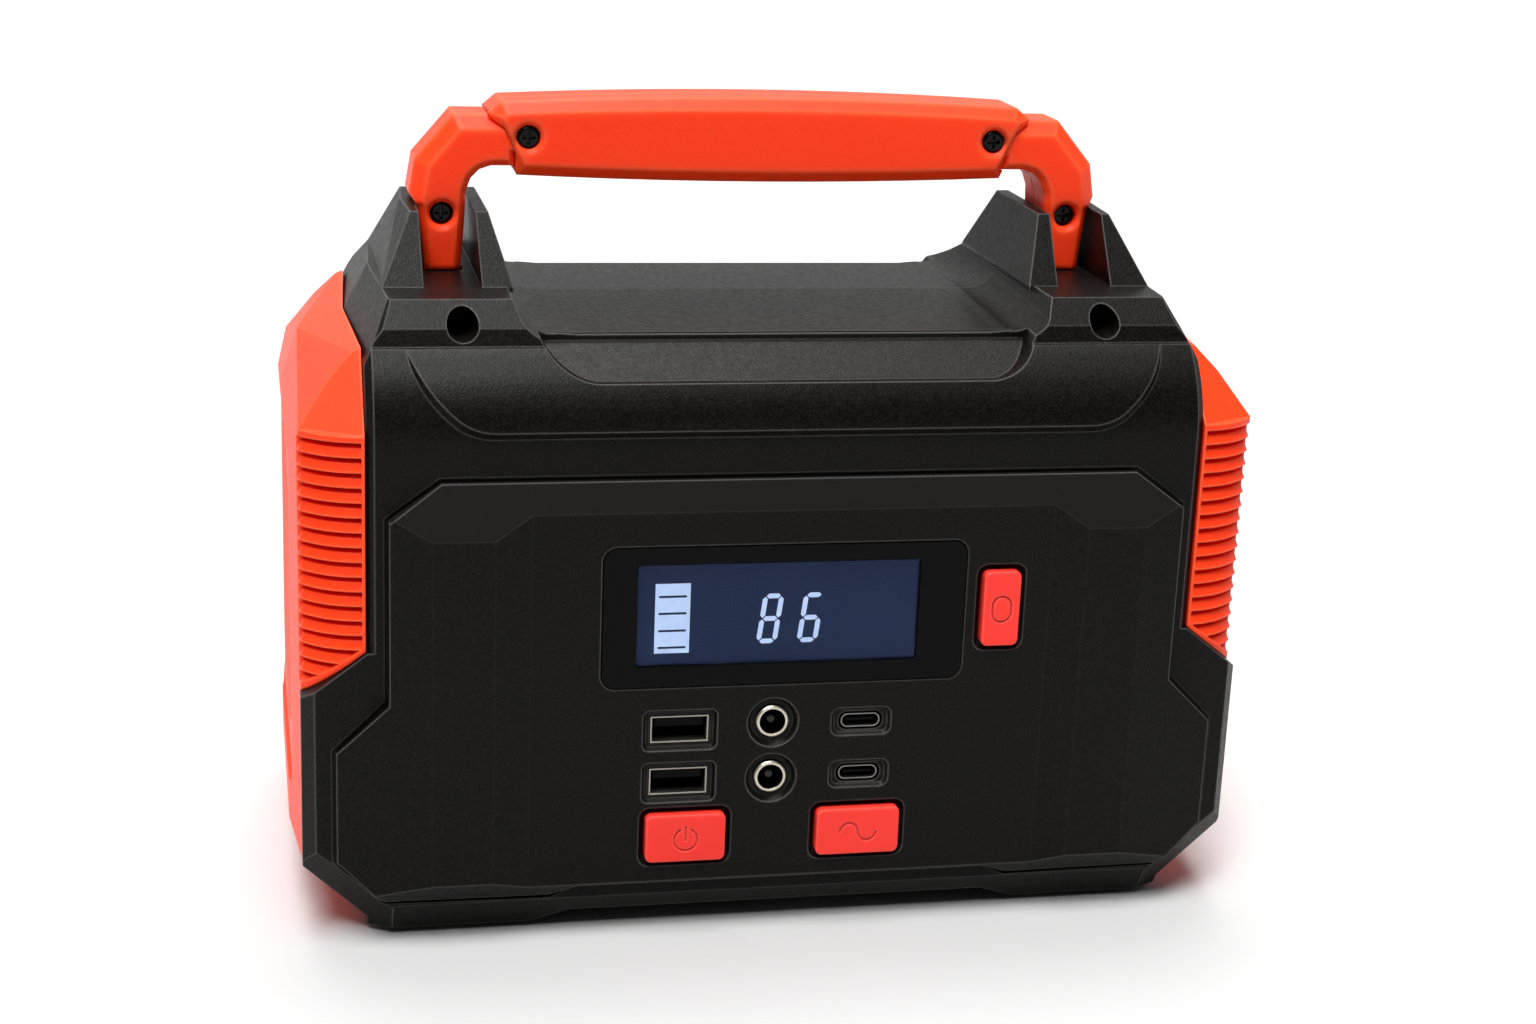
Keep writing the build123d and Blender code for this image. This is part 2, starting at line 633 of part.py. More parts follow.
def side_recess():
    """A shallow recess in the cap's side, around the louvres."""
    outline = [(-33, 29), (33, 29), (38, 36), (38, 104), (30, 112), (-30, 112), (-38, 104), (-38, 36)]
    return prism_yz(outline, SIDE_X - 0.8, 115)


def end_cap():
    """The right end cap without its openings."""
    cap = cap_form(0, CORE_HALF_X + CAP_GAP) - case_clearance(CAP_GAP)
    hollow = cap_form(WALL, CORE_HALF_X - 5) - case_clearance(WALL)
    for side in (-1, 1):
        hollow = cut_beyond(hollow, (94.0, side * 52.7, 0), (0.435, side * 0.90, 0))
    cap -= hollow
    for y, z in cover_screw_places():
        post = rod_x(3.4, y, z, CORE_HALF_X + CAP_GAP, 108) & cap_form(0.5, CORE_HALF_X)
        cap += post
        cap -= rod_x(1.3, y, z, 90, 101.0)
    cap -= side_recess()
    pocket = rib_pocket()
    cap -= pocket + flip_y(pocket)
    for shape in ribs(pocket):
        cap += shape
        cap += flip_y(shape)
    return cap


def left_side_cover():
    cap = end_cap()
    for slot in louvre_cutters(range(-5, 6)):
        cap -= slot
    return flip_x(cap)


def right_side_cover():
    cap = end_cap()
    for slot in louvre_cutters((-5, -4, 4, 5)):
        cap -= slot
    cap -= block(90, 115, -17.3, 17.3, OUTLET_Z - 19.3, OUTLET_Z + 19.3)
    return cap


# ---------------------------------------------------------------- handle
def arm_outline():
    """Front view of the right half of the handle frame, from the foot to the middle of the bar."""
    return [(69.4, 131.0), (77.4, 131.0), (77.6, 142.6), (79.0, 156.6), (81.0, 159.5), (79.7, 167.3),
            (71.0, 177.5), (60.0, 177.5), (57.3, 176.6), (0, 176.6), (0, 168.4), (57.3, 168.4),
            (57.3, 166.1), (62.6, 166.1), (65.3, 165.2), (67.2, 163.2), (68.3, 160.2), (68.5, 155.0),
            (69.4, 142.6)]


def handle_frame():
    """The whole handle frame: both legs, both elbows and the bar inside the grip."""
    right = prism_xz(arm_outline(), -HANDLE_HALF_Y, HANDLE_HALF_Y)
    rims = right.faces().sort_by(Axis.Y)[0].edges() + right.faces().sort_by(Axis.Y)[-1].edges()
    right = chamfer([edge for edge in rims if edge.center().X > 1.0], 1.5)
    reach = HANDLE_HALF_Y - ARM_CHAMFER
    for side in (-1, 1):
        right = cut_beyond(right, (0, side * reach, 177.5), (0, side, 1))
        right = cut_beyond(right, (71.0, side * reach, 177.5), (0.761, side, 0.649))
        right = cut_beyond(right, (81.0, side * reach, 159.5), (0.986, side, 0.164))
    right &= block(-5, 90, -6.4, 6.4, 160, 180) + block(57.3, 90, -12, 12, 145, 180) + block(
        60, 90, -12, 12, 142.6, 150) + block(60, 90, -7.6, 7.6, 120, 150)
    return right + flip_x(right)


def handle_half(front):
    """One half of the handle frame, split along its middle plane, with its screw holes."""
    body = handle_frame()
    for side in (1, -1):
        for x, z in ((HANDLE_X, LEG_SCREW_Z), (GRIP_SCREW_X, GRIP_SCREW_Z)):
            body -= rod_y(1.7, side * x, z, -20, 0)
            body -= rod_y(1.4, side * x, z, 0, 20)
        body -= rod_y(1.8, side * TOWER_SCREW_X, TOWER_SCREW_Z, -20, 20)
        body -= rod_y(2.7, side * HANDLE_X, LEG_SCREW_Z, -20, -4.6)
        body -= cone_y(3.7, 2.7, side * HANDLE_X, LEG_SCREW_Z, -HANDLE_HALF_Y - 0.01, -HANDLE_HALF_Y + 0.9)
    keep = block(-120, 120, -20, -0.03, 100, 200) if front else block(-120, 120, 0.03, 20, 100, 200)
    return body & keep


def grip_body():
    """The solid octagonal grip, slightly fuller in the middle."""
    top = ThreePointArc((-60.2, 0, 180.5), (0, 0, 182.1), (60.2, 0, 180.5))
    right = Polyline((60.2, 0, 180.5), (63.4, 0, 177.8), (56.8, 0, 164.0))
    low = ThreePointArc((56.8, 0, 164.0), (0, 0, 162.8), (-56.8, 0, 164.0))
    left = Polyline((-56.8, 0, 164.0), (-63.4, 0, 177.8), (-60.2, 0, 180.5))
    face = make_face([top, right, low, left])
    body = extrude(face, amount=GRIP_HALF_Y, dir=(0, 1, 0))
    body += extrude(face, amount=GRIP_HALF_Y, dir=(0, -1, 0))
    ends = body.faces().sort_by(Axis.Y)
    edges = ends[0].edges() + ends[-1].edges()
    return chamfer(edges, 2.7)


def grip_hollow():
    """The space that the bar and the ends of the arms take inside the grip."""
    bar = block(-70, 70, -6.6, 6.6, 168.2, 176.8)
    ends = block(57.15, 70, -9.3, 9.3, 165.8, 177.8)
    ends = chamfer(ends.edges().filter_by(Axis.X).group_by(Axis.Z)[-1], ARM_CHAMFER - 0.35)
    ends = chamfer(ends.edges().filter_by(Axis.X).group_by(Axis.Z)[0], 1.3)
    return bar + ends + flip_x(ends)


def grip_half(front):
    body = grip_body() - grip_hollow()
    for side in (1, -1):
        x = side * GRIP_SCREW_X
        body -= rod_y(2.7, x, GRIP_SCREW_Z, -20, -7.6)
        body -= rod_y(1.7, x, GRIP_SCREW_Z, -20, 0)
        body -= rod_y(1.4, x, GRIP_SCREW_Z, 0, 8.6)
        body -= cone_y(3.7, 2.7, x, GRIP_SCREW_Z, -GRIP_HALF_Y - 0.01, -GRIP_HALF_Y + 0.9)
    keep = block(-120, 120, -20, -0.03, 100, 200) if front else block(-120, 120, 0.03, 20, 100, 200)
    return body & keep


def handle_screws():
    screws = []
    for side in (1, -1):
        screws.append(screw_y(side * HANDLE_X, LEG_SCREW_Z, -6.6, 1, 10.5, 2.5, 1.4))
        screws.append(screw_y(side * GRIP_SCREW_X, GRIP_SCREW_Z, -9.6, 1, 15.5, 2.5, 1.4))
    return group(screws)


def tower_screws():
    screws = []
    for side in (1, -1):
        screws.append(screw_y(side * TOWER_SCREW_X, TOWER_SCREW_Z, -26.1, 1, 45.0, 3.1, 1.5, 2.1))
    return group(screws)


def case_screws():
    return group([screw_y(x, z, 32.2, -1, 42.0, 3.0, 1.5, 2.2) for x, z in case_boss_places()])


def cover_screws():
    screws = []
    for side in (1, -1):
        for y, z in cover_screw_places():
            screws.append(screw_x(y, z, side * 88.7, side, 10.0))
    return group(screws)


def rubber_feet():
    """Four thin pads under the case's feet."""
    feet = []
    for side in (1, -1):
        for y_low, y_high in ((-50.0, -18.0), (18.0, 50.0)):
            pad = block(*sorted((side * 58.0, side * 84.4)), y_low, y_high, 0, SHELL_BOTTOM_Z)
            feet.append(fillet(pad.edges().filter_by(Axis.Z), 3.0))
    return group(feet)


# ---------------------------------------------------------------- display
def display_bezel():
    x_low, x_high, z_low, z_high = BEZEL
    frame = plate_y(x_low, x_high, z_low, z_high, 3.0, -PANEL_Y - 0.2, -PANEL_Y + 1.65)
    return frame - pocket_y(WINDOW[0] - 0.4, WINDOW[1] + 0.4, WINDOW[2] - 0.4, WINDOW[3] + 0.4, 0.9,
                            -PANEL_Y - 0.3, 2.2, 0.3)


def display_window():
    return block(WINDOW[0], WINDOW[1], -PANEL_Y + 0.5, -PANEL_Y + 1.65, WINDOW[2], WINDOW[3])


def lcd_panel():
    return block(WINDOW[0] - 1.6, WINDOW[1] + 1.6, -PANEL_Y + 1.75, -PANEL_Y + 3.6,
                 WINDOW[2] - 1.6, WINDOW[3] + 1.6)


def lcd_backlight():
    return block(WINDOW[0] - 1.6, WINDOW[1] + 1.6, -PANEL_Y + 3.65, -PANEL_Y + 6.6,
                 WINDOW[2] - 1.6, WINDOW[3] + 1.6)


def lcd_holder():
    """A frame that carries the display on the control board."""
    outer = block(WINDOW[0] - 3.2, WINDOW[1] + 3.2, -57.6, BOARD_Y, WINDOW[2] - 3.2, WINDOW[3] + 3.2)
    inner = block(WINDOW[0] - 1.7, WINDOW[1] + 1.7, -60.0, -54.3, WINDOW[2] - 1.7, WINDOW[3] + 1.7)
    pocket = block(WINDOW[0] + 4, WINDOW[1] - 4, -53.0, BOARD_Y + 1, WINDOW[2] + 4, WINDOW[3] - 4)
    return outer - inner - pocket


def control_board():
    board = block(-64, 60, BOARD_Y, BOARD_Y + BOARD_THICK, 15, 93)
    for x in (-60, 56):
        for z in (19, 89):
            board -= rod_y(1.6, x, z, BOARD_Y - 1, BOARD_Y + 3)
    return board


def board_screws():
    """Short screws that hold the control board."""
    return group([screw_y(x, z, BOARD_Y + BOARD_THICK + 1.6, -1, 5.5, 2.4, 1.5, 1.6)
                  for x in (-60, 56) for z in (19, 89)])


# ---------------------------------------------------------------- sockets
def usb_a_shell(z_low, z_high):
    """Folded steel shell of a USB-A socket, open at the front, with a flared lip."""
    x_low, x_high = USB_A_X
    outer = block(x_low, x_high, -60.0, BOARD_Y - 0.05, z_low, z_high)
    inner = block(x_low + 0.35, x_high - 0.35, -61, BOARD_Y - 0.6, z_low + 0.35, z_high - 0.35)
    return outer - inner


def usb_a_tongues():
    tongues = []
    for z_low, z_high in USB_A_Z.values():
        centre = (USB_A_X[0] + USB_A_X[1]) / 2
        tongue = block(centre - 5.5, centre + 5.5, -58.6, BOARD_Y - 0.65, z_high - 2.9, z_high - 1.0)
        back = block(centre - 6.1, centre + 6.1, BOARD_Y - 3.0, BOARD_Y - 0.65, z_low + 0.45, z_high - 0.45)
        tongues.append(tongue + back)
    return group(tongues)


def usb_c_shell(z):
    """Drawn steel shell of a USB-C socket."""
    width, height = USB_C_SIZE
    outer = plate_y(USB_C_X - width / 2, USB_C_X + width / 2, z - height / 2, z + height / 2, 1.55,
                    -60.0, BOARD_Y - 0.05)
    inner = plate_y(USB_C_X - width / 2 + 0.3, USB_C_X + width / 2 - 0.3,
                    z - height / 2 + 0.3, z + height / 2 - 0.3, 1.25, -61, BOARD_Y - 0.6)
    return outer - inner


def usb_c_tongues():
    tongues = []
    for z in USB_C_Z.values():
        tongue = block(USB_C_X - 3.3, USB_C_X + 3.3, -59.2, BOARD_Y - 0.65, z - 0.35, z + 0.35)
        back = plate_y(USB_C_X - 4.1, USB_C_X + 4.1, z - 1.25, z + 1.25, 1.1, BOARD_Y - 3.0, BOARD_Y - 0.65)
        tongues.append(tongue + back)
    return group(tongues)


def dc_jack(z):
    """Barrel jack: a plated ring at the mouth of a round body."""
    body = rod_y(JACK_RADIUS, JACK_X, z, -60.4, BOARD_Y - 0.05)
    body = chamfer(body.faces().sort_by(Axis.Y)[0].edges(), 0.35)
    return body - rod_y(2.95, JACK_X, z, -61, BOARD_Y - 1.2)


def dc_jack_pins():
    pins = []
    for z in JACK_Z.values():
        pin = rod_y(1.2, JACK_X, z, -58.6, BOARD_Y - 1.25)
        pins.append(fillet(pin.edges().filter_by(GeomType.CIRCLE).sort_by(Axis.Y)[0], 0.6))
    return group(pins)


# ---------------------------------------------------------------- buttons
def button_centre(name):
    x_low, x_high, z_low, z_high = BUTTONS[name]
    return (x_low + x_high) / 2, (z_low + z_high) / 2


def button_cap(name):
    """A hard red cap with a retaining flange behind the panel."""
    x_low, x_high, z_low, z_high = BUTTONS[name]
    cap = plate_y(x_low, x_high, z_low, z_high, 1.5, -BUTTON_PROUD_Y, -57.0)
    cap = fillet(cap.faces().sort_by(Axis.Y)[0].edges(), 0.5)
    flange = plate_y(x_low - 1.4, x_high + 1.4, z_low - 1.4, z_high + 1.4, 2.0, -57.6, -56.4)
    return cap + flange


def power_button():
    """Cap with an engraved power sign: a ring open at the top, with a bar in the gap."""
    x, z = button_centre("power")
    cap = button_cap("power")
    ring = rod_y(2.9, x, z - 0.2, -BUTTON_PROUD_Y - 1, -BUTTON_PROUD_Y + 0.3)
    ring -= rod_y(2.35, x, z - 0.2, -BUTTON_PROUD_Y - 2, -BUTTON_PROUD_Y + 1)
    ring -= block(x - 1.1, x + 1.1, -BUTTON_PROUD_Y - 2, -BUTTON_PROUD_Y + 1, z, z + 5)
    bar = block(x - 0.28, x + 0.28, -BUTTON_PROUD_Y - 1, -BUTTON_PROUD_Y + 0.3, z - 0.6, z + 3.1)
    return cap - ring - bar


def ac_button():
    """Cap with an engraved wave, the general sign for alternating current."""
    x, z = button_centre("ac")
    cap = button_cap("ac")
    wave = None
    for side, arc_side in ((-1, 1), (1, -1)):
        centre_x = x + side * 2.1
        arc = rod_y(2.4, centre_x, z, -BUTTON_PROUD_Y - 1, -BUTTON_PROUD_Y + 0.3)
        arc -= rod_y(1.8, centre_x, z, -BUTTON_PROUD_Y - 2, -BUTTON_PROUD_Y + 1)
        keep = block(centre_x - 3, centre_x + 3, -70, -50, *sorted((z, z + arc_side * 3)))
        arc = arc & keep
        wave = arc if wave is None else wave + arc
    return cap - wave


def light_button():
    """Upright cap with a raised oval bump."""
    x, z = button_centre("light")
    bump = plate_y(x - 1.9, x + 1.9, z - 2.7, z + 2.7, 1.85, -BUTTON_PROUD_Y - 0.0, -BUTTON_PROUD_Y + 1.0)
    pit = plate_y(x - 2.4, x + 2.4, z - 3.2, z + 3.2, 2.35, -BUTTON_PROUD_Y - 1, -BUTTON_PROUD_Y + 0.35)
    return button_cap("light") - pit + bump


def tact_switch(name):
    """The still part of a tact switch, soldered to the control board."""
    x, z = button_centre(name)
    body = block(x - 3, x + 3, BOARD_Y - SWITCH_DEPTH, BOARD_Y - 0.05, z - 3, z + 3)
    return body - rod_y(1.8, x, z, BOARD_Y - 5, BOARD_Y - 0.9)


def plunger(name):
    """The moving stem between a cap and its switch."""
    x, z = button_centre(name)
    stem = rod_y(1.7, x, z, BOARD_Y - SWITCH_DEPTH - 2.4, BOARD_Y - 1.9)
    return stem + rod_y(2.6, x, z, -56.4, BOARD_Y - SWITCH_DEPTH - 2.3)


# ---------------------------------------------------------------- battery
def cell_places():
    places = []
    for column in range(CELL_COLUMNS):
        for row in range(CELL_ROWS):
            x = (column - (CELL_COLUMNS - 1) / 2) * CELL_PITCH
            places.append((x, CELL_BOTTOM_Z + row * CELL_PITCH))
    return places


def battery_cells():
    """Round cells lying front to back, each with a raised button contact at one end."""
    cells = []
    for x, z in cell_places():
        cell = rod_y(CELL_RADIUS, x, z, CELL_FRONT_Y, CELL_FRONT_Y + CELL_LENGTH - 1.0)
        cell += rod_y(3.0, x, z, CELL_FRONT_Y + CELL_LENGTH - 1.0, CELL_FRONT_Y + CELL_LENGTH)
        cells.append(cell)
    return group(cells)


def cell_holder(y_low, y_high):
    """A plate of cups that spaces the cells."""
    half_x = CELL_COLUMNS * CELL_PITCH / 2 + 1
    low = CELL_BOTTOM_Z - CELL_PITCH / 2 - 0.5
    high = CELL_BOTTOM_Z + (CELL_ROWS - 0.5) * CELL_PITCH + 0.5
    plate = block(-half_x, half_x, y_low, y_high, low, high)
    for x, z in cell_places():
        plate -= rod_y(CELL_RADIUS + 0.05, x, z, y_low - 1, y_high + 1)
    return plate


def busbars():
    """Nickel strips that join each column of cells, front and rear."""
    strips = []
    low = CELL_BOTTOM_Z - 6
    high = CELL_BOTTOM_Z + (CELL_ROWS - 1) * CELL_PITCH + 6
    for column in range(CELL_COLUMNS):
        x = (column - (CELL_COLUMNS - 1) / 2) * CELL_PITCH
        strips.append(block(x - 3.5, x + 3.5, CELL_FRONT_Y - 0.35, CELL_FRONT_Y - 0.05, low, high))
        strips.append(block(x - 3.5, x + 3.5, CELL_FRONT_Y + CELL_LENGTH + 0.05,
                            CELL_FRONT_Y + CELL_LENGTH + 0.35, low, high))
    return group(strips)


def bms_board():
    """Battery management board on top of the pack, with its row of transistors."""
    board = block(-50, 50, -14, 30, 92.0, 93.6)
    for index in range(6):
        x = -38 + index * 13
        board += block(x, x + 9, 2, 12, 93.5, 95.6)
    return board


# ---------------------------------------------------------------- inverter
def inverter_board():
    board = block(-70, 72, -40, 46, INVERTER_Z, INVERTER_Z + 1.6)
    for x in (-66, 68):
        for y in (-36, 42):
            board -= rod_z(1.8, x, y, INVERTER_Z - 1, INVERTER_Z + 3)
    return board


def transformer():
    """Ferrite core with its wound bobbin."""
    z_low = INVERTER_Z + 1.65
    core = block(8, 42, -18, 18, z_low + 3, z_low + 27)
    core -= block(14, 36, -20, 20, z_low + 8, z_low + 22)
    winding = block(14.4, 35.6, -15, 15, z_low, z_low + 21.6)
    bobbin = fillet(winding.edges().filter_by(Axis.Y), 2.0)
    return core + bobbin


def heatsinks():
    """Two finned aluminium bars beside the transistors."""
    bars = []
    z_low = INVERTER_Z + 1.65
    for y in (-34, 40):
        bar = block(-60, 0, y - 1.5, y + 1.5, z_low, z_low + 26)
        for index in range(8):
            x = -58 + index * 8
            inner = 1 if y < 0 else -1
            bar += block(x - 0.8, x + 0.8, *sorted((y + inner * 1.4, y + inner * 11)), z_low, z_low + 26)
        bars.append(bar)
    return group(bars)


def capacitors():
    cans = []
    z_low = INVERTER_Z + 1.65
    for x, y in ((54, -26), (54, -7), (54, 12), (54, 31)):
        can = rod_z(8.0, x, y, z_low, z_low + 24)
        cans.append(fillet(can.edges().filter_by(GeomType.CIRCLE), 0.8))
    return group(cans)


# ---------------------------------------------------------------- fan
def fan_frame():
    """Square fan frame with a bearing tube on four arms."""
    half = FAN_SIZE / 2
    x_high = FAN_X + FAN_DEPTH
    frame = block(FAN_X, x_high, -half, half, FAN_Z - half, FAN_Z + half)
    frame = fillet(frame.edges().filter_by(Axis.X), 3.0)
    frame -= rod_x(28.2, 0, FAN_Z, FAN_X - 1, x_high + 1)
    for y in (-25, 25):
        for z in (-25, 25):
            frame -= rod_x(2.2, y, FAN_Z + z, FAN_X - 1, x_high + 1)
    hub = rod_x(12.0, 0, FAN_Z, x_high - 2.0, x_high)
    for angle in (45, 135):
        arm = block(x_high - 2.0, x_high, -29, 29, FAN_Z - 1.5, FAN_Z + 1.5)
        hub += Pos(0, 0, FAN_Z) * Rot(angle, 0, 0) * Pos(0, 0, -FAN_Z) * arm
    tube = rod_x(4.0, 0, FAN_Z, FAN_X + 4.0, x_high)
    bore = rod_x(1.55, 0, FAN_Z, FAN_X + 3.0, x_high - 0.8)
    return frame + hub + tube - bore


def fan_rotor():
    """Hub cup, shaft and seven pitched blades."""
    cup = rod_x(11.5, 0, FAN_Z, FAN_X + 0.8, FAN_X + 12.0)
    cup -= rod_x(10.3, 0, FAN_Z, FAN_X + 2.2, FAN_X + 13)
    cup += rod_x(1.5, 0, FAN_Z, FAN_X + 1.5, FAN_X + FAN_DEPTH - 1.2)
    blade = block(FAN_X + 5.4, FAN_X + 6.8, -6.2, 6.2, FAN_Z + 10.9, FAN_Z + 27.2)
    pitch = Pos(FAN_X + 6.2, 0, 0) * Rot(0, 0, 38) * Pos(-FAN_X - 6.2, 0, 0)
    blade = (pitch * blade) & rod_x(27.4, 0, FAN_Z, FAN_X + 0.9, FAN_X + 11.8)
    for index in range(7):
        turn = Pos(0, 0, FAN_Z) * Rot(index * 360 / 7, 0, 0) * Pos(0, 0, -FAN_Z)
        cup += turn * blade
    return cup


def fan_screws():
    screws = []
    for y in (-25, 25):
        for z in (-25, 25):
            screws.append(screw_x(y, FAN_Z + z, FAN_X + FAN_DEPTH + 2.0, -1, 14.8, 3.2, 2.1))
    return group(screws)


# ---------------------------------------------------------------- outlet
BLADE_SLOTS = ((-6.35, 4.0, 2.4, 8.4), (6.35, 4.0, 2.4, 7.2))
GROUND_Z = -7.9


def ac_outlet():
    """Socket block: two blade slots and a ground hole in a framed face."""
    face_x = SIDE_X - 0.2
    body = block(84.0, face_x, -17.0, 17.0, OUTLET_Z - 19.0, OUTLET_Z + 19.0)
    body -= block(face_x - 1.2, face_x + 1, -13.8, 13.8, OUTLET_Z - 15.8, OUTLET_Z + 15.8)
    body += block(face_x - 1.3, face_x - 0.4, -12.6, 12.6, OUTLET_Z - 14.4, OUTLET_Z + 14.4)
    for y, dz, width, height in BLADE_SLOTS:
        z = OUTLET_Z + dz
        body -= block(94, 115, y - width / 2, y + width / 2, z - height / 2, z + height / 2)
        body -= block(90, 99, y - 2.6, y + 2.6, z - 5.2, z + 5.2)
    body -= rod_x(2.7, 0, OUTLET_Z + GROUND_Z, 94, 115)
    body -= rod_x(4.0, 0, OUTLET_Z + GROUND_Z, 90, 99)
    return body


def ac_contacts():
    """Brass clips behind each slot and a sleeve behind the ground hole."""
    clips = []
    for y, dz, width, height in BLADE_SLOTS:
        z = OUTLET_Z + dz
        clip = block(90.2, 98.8, y - 2.4, y + 2.4, z - 5.0, z + 5.0)
        clips.append(clip - block(91.2, 99, y - 1.1, y + 1.1, z - 4.2, z + 4.2))
    sleeve = rod_x(3.8, 0, OUTLET_Z + GROUND_Z, 90.2, 98.8)
    clips.append(sleeve - rod_x(2.6, 0, OUTLET_Z + GROUND_Z, 91.2, 99))
    return group(clips)


# ---------------------------------------------------------------- lamp
def lamp_lens():
    x_low, x_high, z_low, z_high = LAMP
    lens = plate_y(x_low, x_high, z_low, z_high, 4.8, PANEL_Y - 2.1, BUTTON_PROUD_Y)
    return fillet(lens.faces().sort_by(Axis.Y)[-1].edges(), 0.9)


def lamp_board():
    return block(-50, 50, 52.0, 53.6, 60, 88)


def lamp_leds():
    """Surface-mounted lamps in two rows."""
    return group([block(x - 1.75, x + 1.75, 53.65, 55.2, z - 1.4, z + 1.4)
                  for x in [-42 + 12 * index for index in range(8)] for z in (68, 80)])


# ---------------------------------------------------------------- internal wires
def wire(points, bend_radius, wire_radius):
    """A round wire along straight runs joined by arcs."""
    path = FilletPolyline(*points, radius=bend_radius)
    start = Plane(origin=path @ 0, z_dir=path % 0)
    return sweep(start * Circle(wire_radius), path=path)


def battery_leads():
    """Two leads from the management board, round the edge of the inverter board and onto it."""
    leads = []
    for x in (-30.0, -22.0):
        route = [(x, 24.0, 93.7), (x, 24.0, 96.4), (x, 49.4, 96.4), (x, 49.4, 107.0), (x, 44.6, 107.0),
                 (x, 44.6, INVERTER_Z + 1.7)]
        leads.append(wire(route, 1.25, 0.8))
    return group(leads)


PARTS = {
    "front_shell": front_shell,
    "rear_shell": rear_shell,
    "left_side_cover": left_side_cover,
    "right_side_cover": right_side_cover,
    "handle_frame_front": lambda: handle_half(True),
    "handle_frame_rear": lambda: handle_half(False),
    "grip_front": lambda: grip_half(True),
    "grip_rear": lambda: grip_half(False),
    "handle_screws": handle_screws,
    "tower_screws": tower_screws,
    "case_screws": case_screws,
    "cover_screws": cover_screws,
    "rubber_feet": rubber_feet,
    "display_bezel": display_bezel,
    "display_window": display_window,
    "lcd_panel": lcd_panel,
    "lcd_backlight": lcd_backlight,
    "lcd_holder": lcd_holder,
    "control_board": control_board,
    "board_screws": board_screws,
    "usb_a_upper": lambda: usb_a_shell(*USB_A_Z["upper"]),
    "usb_a_lower": lambda: usb_a_shell(*USB_A_Z["lower"]),
    "usb_a_tongues": usb_a_tongues,
    "usb_c_upper": lambda: usb_c_shell(USB_C_Z["upper"]),
    "usb_c_lower": lambda: usb_c_shell(USB_C_Z["lower"]),
    "usb_c_tongues": usb_c_tongues,
    "dc_jack_upper": lambda: dc_jack(JACK_Z["upper"]),
    "dc_jack_lower": lambda: dc_jack(JACK_Z["lower"]),
    "dc_jack_pins": dc_jack_pins,
    "power_button": power_button,
    "ac_button": ac_button,
    "light_button": light_button,
    "power_switch": lambda: tact_switch("power"),
    "ac_switch": lambda: tact_switch("ac"),
    "light_switch": lambda: tact_switch("light"),
    "power_plunger": lambda: plunger("power"),
    "ac_plunger": lambda: plunger("ac"),
    "light_plunger": lambda: plunger("light"),
    "battery_cells": battery_cells,
    "cell_holder_front": lambda: cell_holder(CELL_FRONT_Y, CELL_FRONT_Y + 9),
    "cell_holder_rear": lambda: cell_holder(CELL_FRONT_Y + CELL_LENGTH - 10, CELL_FRONT_Y + CELL_LENGTH - 1),
    "busbars": busbars,
    "bms_board": bms_board,
    "battery_leads": battery_leads,
    "inverter_board": inverter_board,
    "transformer": transformer,
    "heatsinks": heatsinks,
    "capacitors": capacitors,
    "fan_frame": fan_frame,
    "fan_rotor": fan_rotor,
    "fan_screws": fan_screws,
    "ac_outlet": ac_outlet,
    "ac_contacts": ac_contacts,
    "lamp_lens": lamp_lens,
    "lamp_board": lamp_board,
    "lamp_leds": lamp_leds,
}

os.makedirs("parts", exist_ok=True)
for name, build in PARTS.items():
    export_step(build(), f"parts/{name}.step")
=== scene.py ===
import math

import bmesh
import bpy
from mathutils import Matrix, Vector


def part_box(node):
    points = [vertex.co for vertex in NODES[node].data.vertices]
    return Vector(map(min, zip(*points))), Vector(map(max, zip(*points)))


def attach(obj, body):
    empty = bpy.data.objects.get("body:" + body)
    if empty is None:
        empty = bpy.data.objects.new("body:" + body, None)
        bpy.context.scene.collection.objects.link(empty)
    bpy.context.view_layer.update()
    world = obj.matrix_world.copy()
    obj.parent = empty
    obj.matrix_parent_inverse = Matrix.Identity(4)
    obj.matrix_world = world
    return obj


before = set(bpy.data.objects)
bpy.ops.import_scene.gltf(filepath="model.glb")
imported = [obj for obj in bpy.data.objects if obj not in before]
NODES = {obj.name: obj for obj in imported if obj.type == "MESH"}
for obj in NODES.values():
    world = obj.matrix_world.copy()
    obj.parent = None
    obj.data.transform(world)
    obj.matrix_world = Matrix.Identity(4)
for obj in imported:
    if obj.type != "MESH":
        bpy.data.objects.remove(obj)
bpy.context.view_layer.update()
MM = 0.001


# ---------------------------------------------------------------- camera, light and floor
CAMERA_PLACE = (-0.12063, -0.57614, 0.25548)
CAMERA_YAW = 0.21678        # turned clockwise from looking along +Y
CAMERA_PITCH = 0.28788      # looking down
CAMERA_ROLL = 0.04164
LENS_MM = 59.234
WORLD_STOPS = ((0.0, 0.04), (0.5, 0.22), (1.0, 0.85))    # (position, grey) from the near side to the far side
HORIZON_STRENGTH = 0.45     # studio brightness at floor level, against 1 higher up
HORIZON_TOP = 0.22          # height in the world, from 0 to 1, where the studio is fully bright
SUNS = (                    # name, place it shines from, strength, width in degrees
    ("sun_top", (-0.06, -0.20, 1.0), 2.0, 26),
    ("sun_back", (0.02, 0.38, 1.0), 2.0, 30),
    ("sun_key", (-0.30, -0.60, 1.20), 2.8, 22),
)
FLOOR_HALF = 6.0
FLOOR_DROP = 0.0002         # keeps the floor clear of the rubber feet


